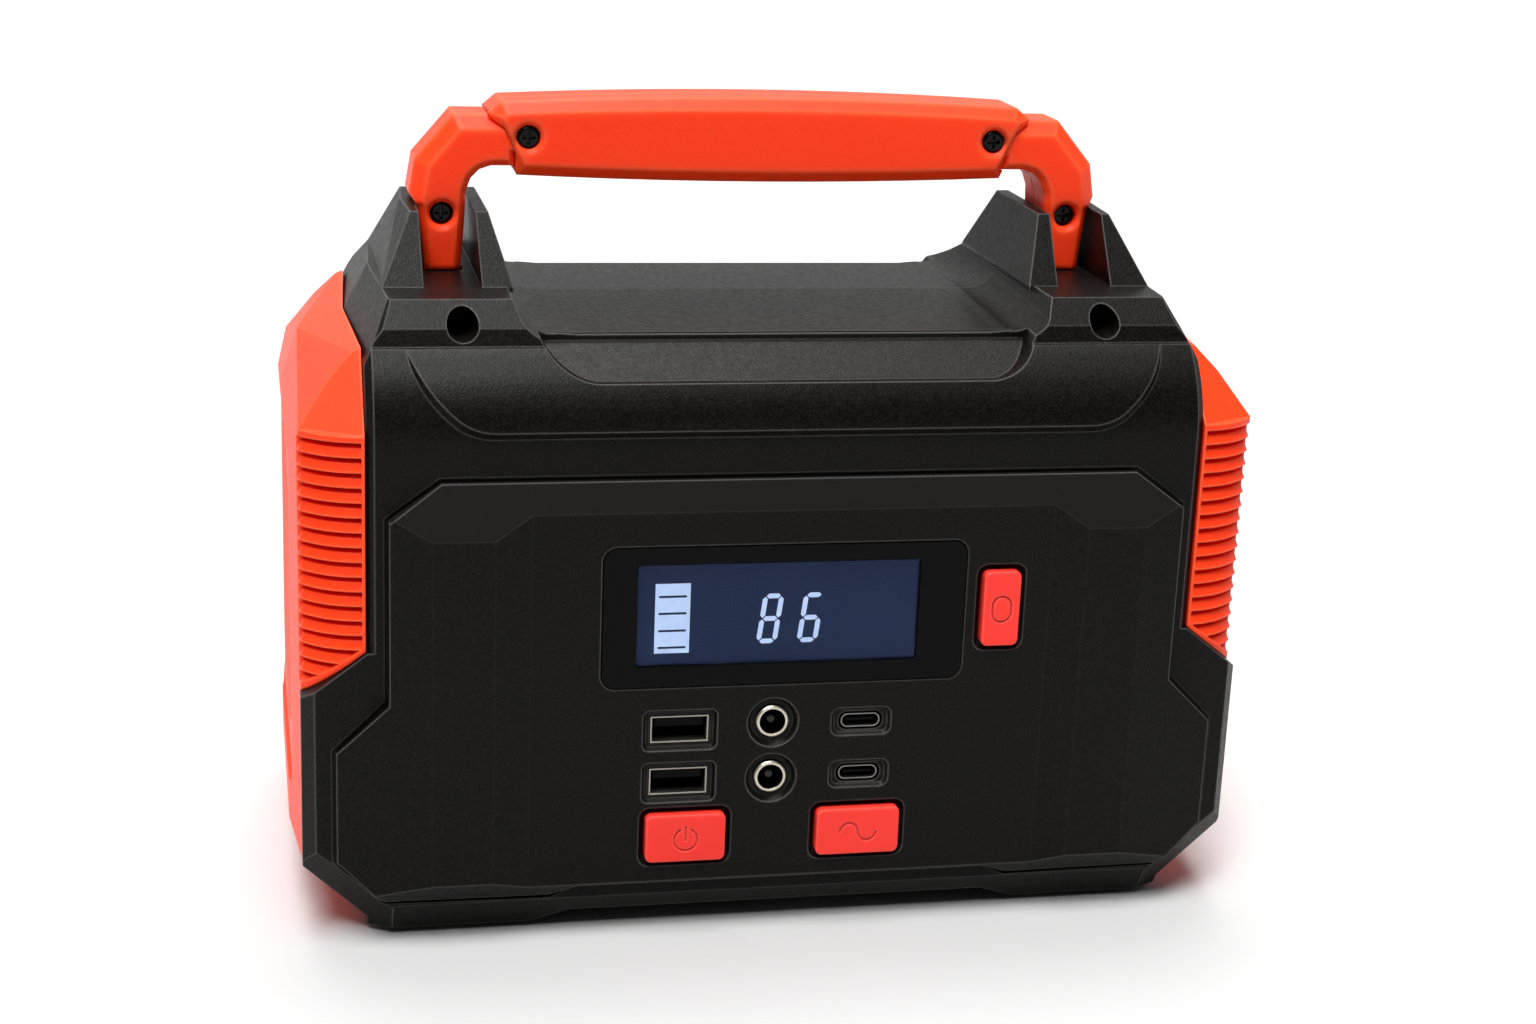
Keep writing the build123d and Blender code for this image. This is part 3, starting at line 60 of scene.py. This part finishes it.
def make_camera():
    data = bpy.data.cameras.new("camera")
    data.sensor_width = 36.0
    data.lens = LENS_MM
    data.clip_start = 0.02
    camera = bpy.data.objects.new("camera", data)
    bpy.context.scene.collection.objects.link(camera)
    forward = Vector((math.sin(CAMERA_YAW) * math.cos(CAMERA_PITCH),
                      math.cos(CAMERA_YAW) * math.cos(CAMERA_PITCH),
                      -math.sin(CAMERA_PITCH)))
    level_right = Vector((math.cos(CAMERA_YAW), -math.sin(CAMERA_YAW), 0))
    level_up = level_right.cross(forward)
    right = level_right * math.cos(CAMERA_ROLL) + level_up * math.sin(CAMERA_ROLL)
    up = level_up * math.cos(CAMERA_ROLL) - level_right * math.sin(CAMERA_ROLL)
    turn = Matrix((right, up, -forward)).transposed()
    camera.matrix_world = Matrix.Translation(CAMERA_PLACE) @ turn.to_4x4()
    bpy.context.scene.camera = camera


def make_sun(name, source, strength, spread):
    """A far soft light that shines from source towards the origin; spread is its width in degrees."""
    data = bpy.data.lights.new(name, "SUN")
    data.energy = strength
    data.angle = math.radians(spread)
    light = bpy.data.objects.new(name, data)
    bpy.context.scene.collection.objects.link(light)
    light.rotation_mode = "QUATERNION"
    light.rotation_quaternion = (-Vector(source)).to_track_quat("-Z", "Y")


def make_world():
    """A studio that is bright overhead and behind the object, and dim on the camera's side."""
    world = bpy.data.worlds.new("studio")
    bpy.context.scene.world = world
    world.use_nodes = True
    nodes = world.node_tree.nodes
    links = world.node_tree.links
    background = nodes["Background"]
    direction = nodes.new("ShaderNodeTexCoord")
    parts = nodes.new("ShaderNodeSeparateXYZ")
    links.new(direction.outputs["Generated"], parts.inputs["Vector"])
    depth = nodes.new("ShaderNodeMapRange")
    depth.inputs["From Min"].default_value = -1.0
    depth.inputs["From Max"].default_value = 1.0
    links.new(parts.outputs["Y"], depth.inputs["Value"])
    height = nodes.new("ShaderNodeMapRange")
    height.inputs["From Min"].default_value = 0.0
    height.inputs["From Max"].default_value = HORIZON_TOP
    height.inputs["To Min"].default_value = HORIZON_STRENGTH
    links.new(parts.outputs["Z"], height.inputs["Value"])
    ramp = nodes.new("ShaderNodeValToRGB")
    elements = ramp.color_ramp.elements
    elements.new(0.5)
    for element, (position, grey) in zip(elements, WORLD_STOPS):
        element.position = position
        element.color = (grey, grey, grey, 1)
    links.new(depth.outputs["Result"], ramp.inputs["Fac"])
    links.new(ramp.outputs["Color"], background.inputs["Color"])
    links.new(height.outputs["Result"], background.inputs["Strength"])


def make_studio():
    for sun in SUNS:
        make_sun(*sun)
    make_world()
    bpy.context.scene.view_settings.view_transform = "Standard"


def make_floor():
    mesh = bpy.data.meshes.new("floor")
    corners = [(x * FLOOR_HALF, y * FLOOR_HALF, 0) for x, y in ((-1, -1), (1, -1), (1, 1), (-1, 1))]
    mesh.from_pydata(corners, [], [(0, 1, 2, 3)])
    floor = bpy.data.objects.new("floor", mesh)
    bpy.context.scene.collection.objects.link(floor)
    floor.location.z = -FLOOR_DROP
    mesh.materials.append(floor_material())


# ---------------------------------------------------------------- material building blocks
SOCKETS = {
    "metallic": "Metallic",
    "ior": "IOR",
    "transmission": "Transmission Weight",
    "specular": "Specular IOR Level",
    "roughness": "Roughness",
    "emission_strength": "Emission Strength",
    "subsurface": "Subsurface Weight",
    "subsurface_scale": "Subsurface Scale",
}
BAND_LOW = 0.088            # heights between which the panel's sloped band lies
BAND_HIGH = 0.1085
BAND_FADE = 0.0005
BAND_SLOPE = (0.14, 0.17)   # how far up a face has to look to belong to the band
EDGE_SAMPLES = 4
ROUNDING_SAMPLES = 6
OPENNESS_SAMPLES = 6
HIGHLIGHT_FULL = 1.0 - 1.0 / 9.0     # the rounded normal's cosine with the true one where the painted edge highlight is full
HIGHLIGHT_OPENNESS = (0.72, 0.9)


class Material:
    """A node-based material: a Principled shader and short ways to add to it."""

    def __init__(self, name):
        self.data = bpy.data.materials.new(name)
        self.data.use_nodes = True
        self.nodes = self.data.node_tree.nodes
        self.links = self.data.node_tree.links
        self.shader = self.nodes["Principled BSDF"]
        self.coordinates = self.nodes.new("ShaderNodeTexCoord")

    def set(self, **values):
        for key, value in values.items():
            self.shader.inputs[SOCKETS[key]].default_value = value

    def colour(self, value):
        self.shader.inputs["Base Color"].default_value = (*value, 1)

    def noise(self, scale, detail=3.0, roughness=0.55, stretch=None):
        """Noise over the object, scale in features per metre."""
        node = self.nodes.new("ShaderNodeTexNoise")
        node.inputs["Scale"].default_value = scale
        node.inputs["Detail"].default_value = detail
        node.inputs["Roughness"].default_value = roughness
        source = self.coordinates.outputs["Object"]
        if stretch:
            mapping = self.nodes.new("ShaderNodeMapping")
            mapping.inputs["Scale"].default_value = stretch
            self.links.new(source, mapping.inputs["Vector"])
            source = mapping.outputs["Vector"]
        self.links.new(source, node.inputs["Vector"])
        return node.outputs["Fac"]

    def ramp(self, source, stops):
        """Map a 0 to 1 value through (position, colour or grey) stops."""
        node = self.nodes.new("ShaderNodeValToRGB")
        elements = node.color_ramp.elements
        while len(elements) < len(stops):
            elements.new(0.5)
        for element, (position, value) in zip(elements, stops):
            element.position = position
            element.color = (*value, 1) if isinstance(value, tuple) else (value, value, value, 1)
        self.links.new(source, node.inputs["Fac"])
        return node.outputs["Color"]

    def vary(self, source, low, high):
        """Low where the source is 0.3 or less, high where it is 0.7 or more."""
        return self.ramp(source, [(0.3, low), (0.7, high)])

    def mix(self, factor, a, b):
        """Colour a where the factor is 0 and b where it is 1."""
        node = self.nodes.new("ShaderNodeMix")
        node.data_type = "RGBA"
        for value, socket in ((factor, node.inputs[0]), (a, node.inputs[6]), (b, node.inputs[7])):
            if isinstance(value, tuple):
                socket.default_value = (*value, 1)
            else:
                self.links.new(value, socket)
        return node.outputs[2]

    def rounded_normal(self, radius, samples):
        bevel = self.nodes.new("ShaderNodeBevel")
        bevel.samples = samples
        bevel.inputs["Radius"].default_value = radius
        return bevel.outputs["Normal"]

    def painted_highlight_mask(self, radius):
        """Where to paint a highlight on convex edges: how far the rounded normal turns from the true one."""
        geometry = self.nodes.new("ShaderNodeNewGeometry")
        dot = self.nodes.new("ShaderNodeVectorMath")
        dot.operation = "DOT_PRODUCT"
        self.links.new(self.rounded_normal(radius, EDGE_SAMPLES), dot.inputs[0])
        self.links.new(geometry.outputs["Normal"], dot.inputs[1])
        turned = self.step(dot.outputs["Value"], 1.0, HIGHLIGHT_FULL)
        return self.times(turned, self.openness(radius * 3.0, *HIGHLIGHT_OPENNESS))

    def openness(self, distance, closed, opened):
        """0 in creases and slots, 1 on open faces and outer edges."""
        occlusion = self.nodes.new("ShaderNodeAmbientOcclusion")
        occlusion.samples = OPENNESS_SAMPLES
        occlusion.inputs["Distance"].default_value = distance
        return self.step(occlusion.outputs["AO"], closed, opened)

    def step(self, value, start, end):
        """0 below start, 1 above end."""
        node = self.nodes.new("ShaderNodeMapRange")
        node.inputs["From Min"].default_value = start
        node.inputs["From Max"].default_value = end
        self.links.new(value, node.inputs["Value"])
        return node.outputs["Result"]

    def times(self, a, b):
        node = self.nodes.new("ShaderNodeMath")
        node.operation = "MULTIPLY"
        self.links.new(a, node.inputs[0])
        self.links.new(b, node.inputs[1])
        return node.outputs["Value"]

    def coarse_band(self):
        """1 on the panel's sloped upper band, which has a coarser grain than the rest of the case and gets
        painted light from above.
        """
        geometry = self.nodes.new("ShaderNodeNewGeometry")
        facing = self.nodes.new("ShaderNodeSeparateXYZ")
        self.links.new(geometry.outputs["True Normal"], facing.inputs["Vector"])
        place = self.nodes.new("ShaderNodeSeparateXYZ")
        self.links.new(self.coordinates.outputs["Object"], place.inputs["Vector"])
        height = place.outputs["Z"]
        above = self.step(height, BAND_LOW, BAND_LOW + BAND_FADE)
        below = self.step(height, BAND_HIGH, BAND_HIGH - BAND_FADE)
        return self.times(self.times(above, below), self.step(facing.outputs["Z"], *BAND_SLOPE))

    def surface(self, bumps, rounding=0.0):
        """Chain bump layers, each (height socket, strength, distance), over rounded edges."""
        normal = self.rounded_normal(rounding, ROUNDING_SAMPLES) if rounding else None
        for height, strength, distance in bumps:
            bump = self.nodes.new("ShaderNodeBump")
            bump.inputs["Strength"].default_value = strength
            bump.inputs["Distance"].default_value = distance
            self.links.new(height, bump.inputs["Height"])
            if normal is not None:
                self.links.new(normal, bump.inputs["Normal"])
            normal = bump.outputs["Normal"]
        self.links.new(normal, self.shader.inputs["Normal"])

    def link_colour(self, source):
        self.links.new(source, self.shader.inputs["Base Color"])

    def link_roughness(self, source):
        self.links.new(source, self.shader.inputs["Roughness"])


def floor_material():
    material = Material("floor_paper")
    material.link_colour(material.vary(material.noise(3.0), (0.49, 0.49, 0.49), (0.505, 0.505, 0.505)))
    material.set(roughness=0.9, specular=0.1)
    return material.data


GRAIN_DEPTH = 0.0001        # bump heights, in metres
BROAD_DEPTH = 0.0006
CREASE_SHADE_REACH = 0.0025       # how far the painted shade of a crease reaches onto the faces next to it
CREASE_SHADE_OPENNESS = (0.10, 0.65)
PEAKS = (0.44, 0.68)        # the part of the grain's height that is speckled
COARSE_ROUGHNESS = (0.62, 0.62, 0.62)


def moulded_plastic(name, dark, light, roughness, grain, rounding, speckle=None, crease_shade=None, band_grain_and_light=None,
                    edge_highlight=None):
    """Moulded plastic in shades from dark to light, with a spark-eroded grain.

    grain is its features per metre and its strength. The optional colours are those of the grain's peaks, the
    painted shade in creases, the panel's coarse band, which is partly painted light, and the painted
    highlight on convex edges.
    """
    material = Material(name)
    scale, strength = grain
    low, high = roughness
    broad = material.noise(14.0, detail=4.0)
    fine = material.noise(scale, detail=2.0, roughness=0.6)
    rough = material.ramp(material.noise(scale * 0.35, detail=2.0), [(0.25, low), (0.75, high)])
    colour = material.vary(broad, dark, light)
    if speckle:
        colour = material.mix(material.step(fine, *PEAKS), colour, speckle)
    # painted shade: the colour darkens in creases and slots, where shade falls
    if crease_shade:
        colour = material.mix(material.openness(CREASE_SHADE_REACH, *CREASE_SHADE_OPENNESS), crease_shade, colour)
    # the band's lighter colour is partly its coarser grain and partly painted light, where the upward-facing
    # band catches light from above
    if band_grain_and_light:
        coarse = material.coarse_band()
        colour = material.mix(coarse, colour, band_grain_and_light)
        rough = material.mix(coarse, rough, COARSE_ROUGHNESS)
    # painted highlight: lighter colour along convex edges, where they catch the light
    if edge_highlight:
        colour = material.mix(material.painted_highlight_mask(rounding * 1.2), colour, edge_highlight)
    material.link_colour(colour)
    material.link_roughness(rough)
    material.surface([(broad, 0.05, BROAD_DEPTH), (fine, strength, GRAIN_DEPTH)], rounding)
    return material


def black_shell_material():
    # the crease colour is painted shade, the edge colour a painted highlight, and the band colour partly
    # painted light from above
    material = moulded_plastic(
        "black_abs", (0.0012, 0.0010, 0.0008), (0.0020, 0.0017, 0.0014), (0.33, 0.47), (2000.0, 0.65), 0.0005,
        speckle=(0.0075, 0.0068, 0.0058), crease_shade=(0.0010, 0.0010, 0.0010), band_grain_and_light=(0.0080, 0.0074, 0.0062),
        edge_highlight=(0.105, 0.101, 0.096))
    material.set(specular=0.11)
    return material.data


def orange_material(name, rounding):
    # the crease colour is painted shade in the slots and creases, and the edge colour a painted highlight
    material = moulded_plastic(
        name, (0.95, 0.038, 0.005), (1.0, 0.047, 0.007), (0.34, 0.44), (2200.0, 0.25), rounding,
        speckle=(1.0, 0.058, 0.011), crease_shade=(0.88, 0.022, 0.004), edge_highlight=(1.0, 0.13, 0.045))
    material.set(specular=0.16, subsurface=0.22, subsurface_scale=0.0025)
    return material.data


def red_material():
    # the crease colour is painted shade, and the edge colour a painted highlight
    material = moulded_plastic(
        "red_button", (0.85, 0.035, 0.024), (0.92, 0.045, 0.032), (0.42, 0.55), (3600.0, 0.12), 0.0005,
        crease_shade=(0.45, 0.008, 0.006), edge_highlight=(1.0, 0.14, 0.11))
    material.set(specular=0.2)
    return material.data


def rubber_material():
    return moulded_plastic(
        "black_rubber", (0.008, 0.008, 0.008), (0.012, 0.012, 0.012), (0.7, 0.85), (1500.0, 0.4),
        0.0003).data


def socket_material():
    return moulded_plastic(
        "socket_plastic", (0.008, 0.008, 0.008), (0.012, 0.012, 0.012), (0.35, 0.5), (2500.0, 0.15),
        0.0002).data


def pale_plastic_material():
    return moulded_plastic(
        "white_plastic", (0.72, 0.72, 0.70), (0.8, 0.8, 0.78), (0.4, 0.55), (2500.0, 0.1), 0.0002).data


def gloss_black_material():
    material = Material("gloss_black")
    material.colour((0.003, 0.003, 0.0032))
    material.set(specular=0.05)
    material.link_roughness(material.vary(material.noise(60.0), 0.16, 0.26))
    material.surface([(material.noise(30.0), 0.03, 0.0003)], 0.0003)
    return material.data


def screw_material():
    material = Material("black_oxide")
    grain = material.noise(5000.0)
    material.link_colour(material.vary(grain, (0.0012, 0.0012, 0.0012), (0.0024, 0.0024, 0.0024)))
    material.set(specular=0.14)
    material.link_roughness(material.vary(grain, 0.12, 0.18))
    material.surface([(grain, 0.05, 0.00005)], 0.0003)
    return material.data


# painted shade inside a socket, behind its mouth
PAINTED_SOCKET_SHADE = (0.012, 0.011, 0.010)


def plated_material(name, bright, mouth, depth):
    """Nickel plate that is bright at y = mouth, with painted shade darkening it from depth metres behind it,
    inside the socket.
    """
    material = Material(name)
    grain = material.noise(400.0, stretch=(1, 12, 1))
    shine = material.vary(grain, bright, tuple(c * 1.15 for c in bright))
    position = material.nodes.new("ShaderNodeSeparateXYZ")
    material.links.new(material.coordinates.outputs["Object"], position.inputs["Vector"])
    # painted shade: the plate darkens behind its mouth, inside the socket
    socket_shade = material.step(position.outputs["Y"], mouth, mouth + depth)
    material.link_colour(material.mix(socket_shade, shine, PAINTED_SOCKET_SHADE))
    material.set(metallic=1.0)
    material.link_roughness(material.vary(grain, 0.32, 0.46))
    material.surface([(grain, 0.06, 0.00005)], 0.00015)
    return material.data


def metal_material(name, dark, light, low, high):
    """Brushed metal, with roughness from low to high."""
    material = Material(name)
    grain = material.noise(900.0, stretch=(1, 8, 1))
    material.link_colour(material.vary(grain, dark, light))
    material.set(metallic=1.0)
    material.link_roughness(material.vary(grain, low, high))
    material.surface([(grain, 0.08, 0.00005)], 0.0002)
    return material.data


def board_material():
    material = Material("circuit_board")
    weave = material.noise(1200.0)
    material.link_colour(material.ramp(weave, [(0.35, (0.008, 0.07, 0.02)), (0.65, (0.014, 0.10, 0.03))]))
    material.link_roughness(material.vary(weave, 0.3, 0.42))
    material.surface([(weave, 0.1, 0.00005)])
    return material.data


def cell_material():
    material = Material("cell_sleeve")
    sleeve = material.noise(25.0)
    material.link_colour(material.vary(sleeve, (0.02, 0.10, 0.28), (0.03, 0.13, 0.34)))
    material.link_roughness(material.vary(sleeve, 0.25, 0.38))
    material.surface([(sleeve, 0.1, 0.0003)])
    return material.data


def window_material():
    material = Material("clear_window")
    material.colour((0.95, 0.97, 1.0))
    material.set(transmission=1.0, ior=1.12)
    material.link_roughness(material.vary(material.noise(40.0), 0.0, 0.03))
    return material.data


def lit_material(name, dark, light, patch):
    """A lit part of the display; patch is how many shade variations there are per metre."""
    material = Material(name)
    colour = material.vary(material.noise(patch, detail=2.0), dark, light)
    material.link_colour(colour)
    material.links.new(colour, material.shader.inputs["Emission Color"])
    material.set(emission_strength=0.85, roughness=0.6, specular=0.1)
    return material.data


def lens_material():
    """Milky lamp diffuser with fine vertical prisms."""
    material = Material("lamp_diffuser")
    ridges = material.nodes.new("ShaderNodeTexWave")
    ridges.inputs["Scale"].default_value = 105.0
    material.links.new(material.coordinates.outputs["Object"], ridges.inputs["Vector"])
    shade = material.mix(ridges.outputs["Fac"], (0.60, 0.62, 0.62), (0.72, 0.74, 0.74))
    material.link_colour(material.mix(material.noise(30.0), shade, (0.70, 0.72, 0.71)))
    material.set(subsurface=0.25, subsurface_scale=0.003)
    material.link_roughness(material.vary(material.noise(80.0), 0.25, 0.35))
    material.surface([(ridges.outputs["Fac"], 0.25, 0.0004)], 0.0004)
    return material.data


# ---------------------------------------------------------------- carried-over CAD nodes
JACK_RIM = 0.0001           # the painted shade inside the jack starts this far behind its front face


def dress(material, *names):
    """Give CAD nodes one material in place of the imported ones."""
    for name in names:
        slots = NODES[name].data.materials
        slots.clear()
        slots.append(material)


def dress_case():
    dress(black_shell_material(), "front_shell", "rear_shell")
    dress(orange_material("orange_cover", 0.0007), "left_side_cover", "right_side_cover")
    dress(orange_material("orange_handle", 0.0018), "handle_frame_front", "handle_frame_rear",
          "grip_front", "grip_rear")
    dress(screw_material(), "handle_screws", "tower_screws", "case_screws")
    dress(rubber_material(), "rubber_feet")
    dress(lens_material(), "lamp_lens")


def dress_panel(lcd_blue):
    jack_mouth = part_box("dc_jack_upper")[0].y + JACK_RIM
    usb_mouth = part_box("usb_a_upper")[0].y
    dress(gloss_black_material(), "display_bezel", "capacitors", "usb_a_tongues", "usb_c_tongues")
    dress(window_material(), "display_window")
    dress(lcd_blue, "lcd_panel")
    dress(red_material(), "power_button", "ac_button", "light_button", "battery_leads")
    # the plates darken behind their mouths: painted shade inside the sockets
    dress(plated_material("jack_plate", (0.60, 0.55, 0.45), jack_mouth, 0.0005),
          "dc_jack_upper", "dc_jack_lower")
    dress(plated_material("usb_a_plate", (0.34, 0.315, 0.27), usb_mouth, 0.0040),
          "usb_a_upper", "usb_a_lower")
    dress(plated_material("usb_c_plate", (0.22, 0.21, 0.20), usb_mouth, 0.0025),
          "usb_c_upper", "usb_c_lower")
    # painted shade: the pins' metal is darkened to the shade inside the jack
    dress(metal_material("shaded_pin", (0.03, 0.028, 0.025), (0.05, 0.047, 0.042), 0.3, 0.45), "dc_jack_pins")


def dress_inside():
    dress(pale_plastic_material(), "lcd_backlight", "lcd_holder", "lamp_leds",
          "power_plunger", "ac_plunger", "light_plunger")
    dress(board_material(), "control_board", "bms_board", "inverter_board", "lamp_board")
    dress(socket_material(), "power_switch", "ac_switch", "light_switch", "ac_outlet", "cell_holder_front",
          "cell_holder_rear", "fan_frame", "fan_rotor", "transformer")
    dress(cell_material(), "battery_cells")
    dress(metal_material("zinc_steel", (0.42, 0.42, 0.43), (0.55, 0.55, 0.56), 0.25, 0.4),
          "cover_screws", "board_screws", "fan_screws")
    dress(metal_material("nickel_strip", (0.60, 0.58, 0.52), (0.70, 0.68, 0.62), 0.25, 0.4), "busbars")
    dress(metal_material("aluminium", (0.60, 0.60, 0.62), (0.72, 0.72, 0.74), 0.3, 0.45), "heatsinks")
    dress(metal_material("brass", (0.62, 0.42, 0.14), (0.75, 0.55, 0.22), 0.2, 0.35), "ac_contacts")


# ---------------------------------------------------------------- what the display shows
# Millimetres from the lower left corner of the liquid-crystal glass, and in front of its face.
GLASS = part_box("lcd_panel")[0]
DISPLAY_BACK = 0.015
DISPLAY_FACE = 0.05
BAR_FACE = 0.075
GAUGE = (5.4, 13.2, 3.9, 20.0)
GAUGE_BARS = (17.0, 13.1, 9.1, 5.2)
BAR_INSET = 0.8
BAR_HEIGHT = 0.5
DIGIT_LEFTS = (28.9, 38.1)
DIGIT_WIDTH = 4.7
DIGIT_LOW = 5.5
DIGIT_HIGH = 17.1
DIGIT_LEAN = math.tan(math.radians(7.0))
SEGMENT_WIDE = 1.1
SEGMENT_GAP = 0.2
CHARGE_SHOWN = ("abcdefg", "acdefg")     # the figures 8 and 6


def prism(mesh, outline, back, face):
    """A thin plate: an outline in x and z, anticlockwise from the front, at two distances from the glass."""
    far = [mesh.verts.new(GLASS + Vector((x, -back, z)) * MM) for x, z in outline]
    near = [mesh.verts.new(GLASS + Vector((x, -face, z)) * MM) for x, z in outline]
    mesh.faces.new(near)
    mesh.faces.new(list(reversed(far)))
    for i, corner in enumerate(far):
        following = (i + 1) % len(far)
        mesh.faces.new((corner, far[following], near[following], near[i]))


def add_plates(name, outlines, back, face, material):
    """One piece of flat plates, riding on the housing."""
    mesh = bmesh.new()
    for outline in outlines:
        prism(mesh, outline, back, face)
    bmesh.ops.recalc_face_normals(mesh, faces=mesh.faces[:])
    data = bpy.data.meshes.new(name)
    mesh.to_mesh(data)
    mesh.free()
    data.materials.append(material)
    piece = bpy.data.objects.new(name, data)
    bpy.context.scene.collection.objects.link(piece)
    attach(piece, "housing")


def rectangle(left, right, low, high):
    return [(left, low), (right, low), (right, high), (left, high)]


def segment(start, end):
    """A six-cornered bar between two points of the digit's frame, pointed at both ends."""
    (x0, z0), (x1, z1) = start, end
    length = math.hypot(x1 - x0, z1 - z0)
    along = ((x1 - x0) / length, (z1 - z0) / length)
    across = (-along[1], along[0])
    half = SEGMENT_WIDE / 2
    first, last = SEGMENT_GAP, length - SEGMENT_GAP
    places = ((first, 0), (first + half, -half), (last - half, -half), (last, 0), (last - half, half),
              (first + half, half))
    corners = []
    for distance, side in places:
        x = x0 + along[0] * distance + across[0] * side
        z = z0 + along[1] * distance + across[1] * side
        corners.append((x, z))
    return corners


def digit(left, shown):
    """Outlines of the lit segments a to g of one leaning seven-segment figure."""
    half = SEGMENT_WIDE / 2
    west, east = left + half, left + DIGIT_WIDTH - half
    low, high = DIGIT_LOW + half, DIGIT_HIGH - half
    middle = (low + high) / 2
    ends = {
        "a": ((west, high), (east, high)),
        "b": ((east, middle), (east, high)),
        "c": ((east, low), (east, middle)),
        "d": ((west, low), (east, low)),
        "e": ((west, low), (west, middle)),
        "f": ((west, middle), (west, high)),
        "g": ((west, middle), (east, middle)),
    }
    outlines = []
    for key in shown:
        outlines.append([(x + (z - middle) * DIGIT_LEAN, z) for x, z in segment(*ends[key])])
    return outlines


def add_display(lcd_blue):
    lit = lit_material("lcd_segment", (0.31, 0.39, 0.55), (0.35, 0.43, 0.60), 400.0)
    figures = []
    for left, shown in zip(DIGIT_LEFTS, CHARGE_SHOWN):
        figures += digit(left, shown)
    add_plates("display_figures", figures, DISPLAY_BACK, DISPLAY_FACE, lit)
    add_plates("display_gauge", [rectangle(*GAUGE)], DISPLAY_BACK, DISPLAY_FACE, lit)
    left, right = GAUGE[0] + BAR_INSET, GAUGE[1] - BAR_INSET
    bars = [rectangle(left, right, z - BAR_HEIGHT / 2, z + BAR_HEIGHT / 2) for z in GAUGE_BARS]
    add_plates("display_gauge_bars", bars, DISPLAY_FACE, BAR_FACE, lcd_blue)


make_camera()
make_studio()
make_floor()
blue = lit_material("lcd_blue", (0.0052, 0.0105, 0.0330), (0.0066, 0.0130, 0.0390), 9.0)
dress_case()
dress_panel(blue)
dress_inside()
add_display(blue)
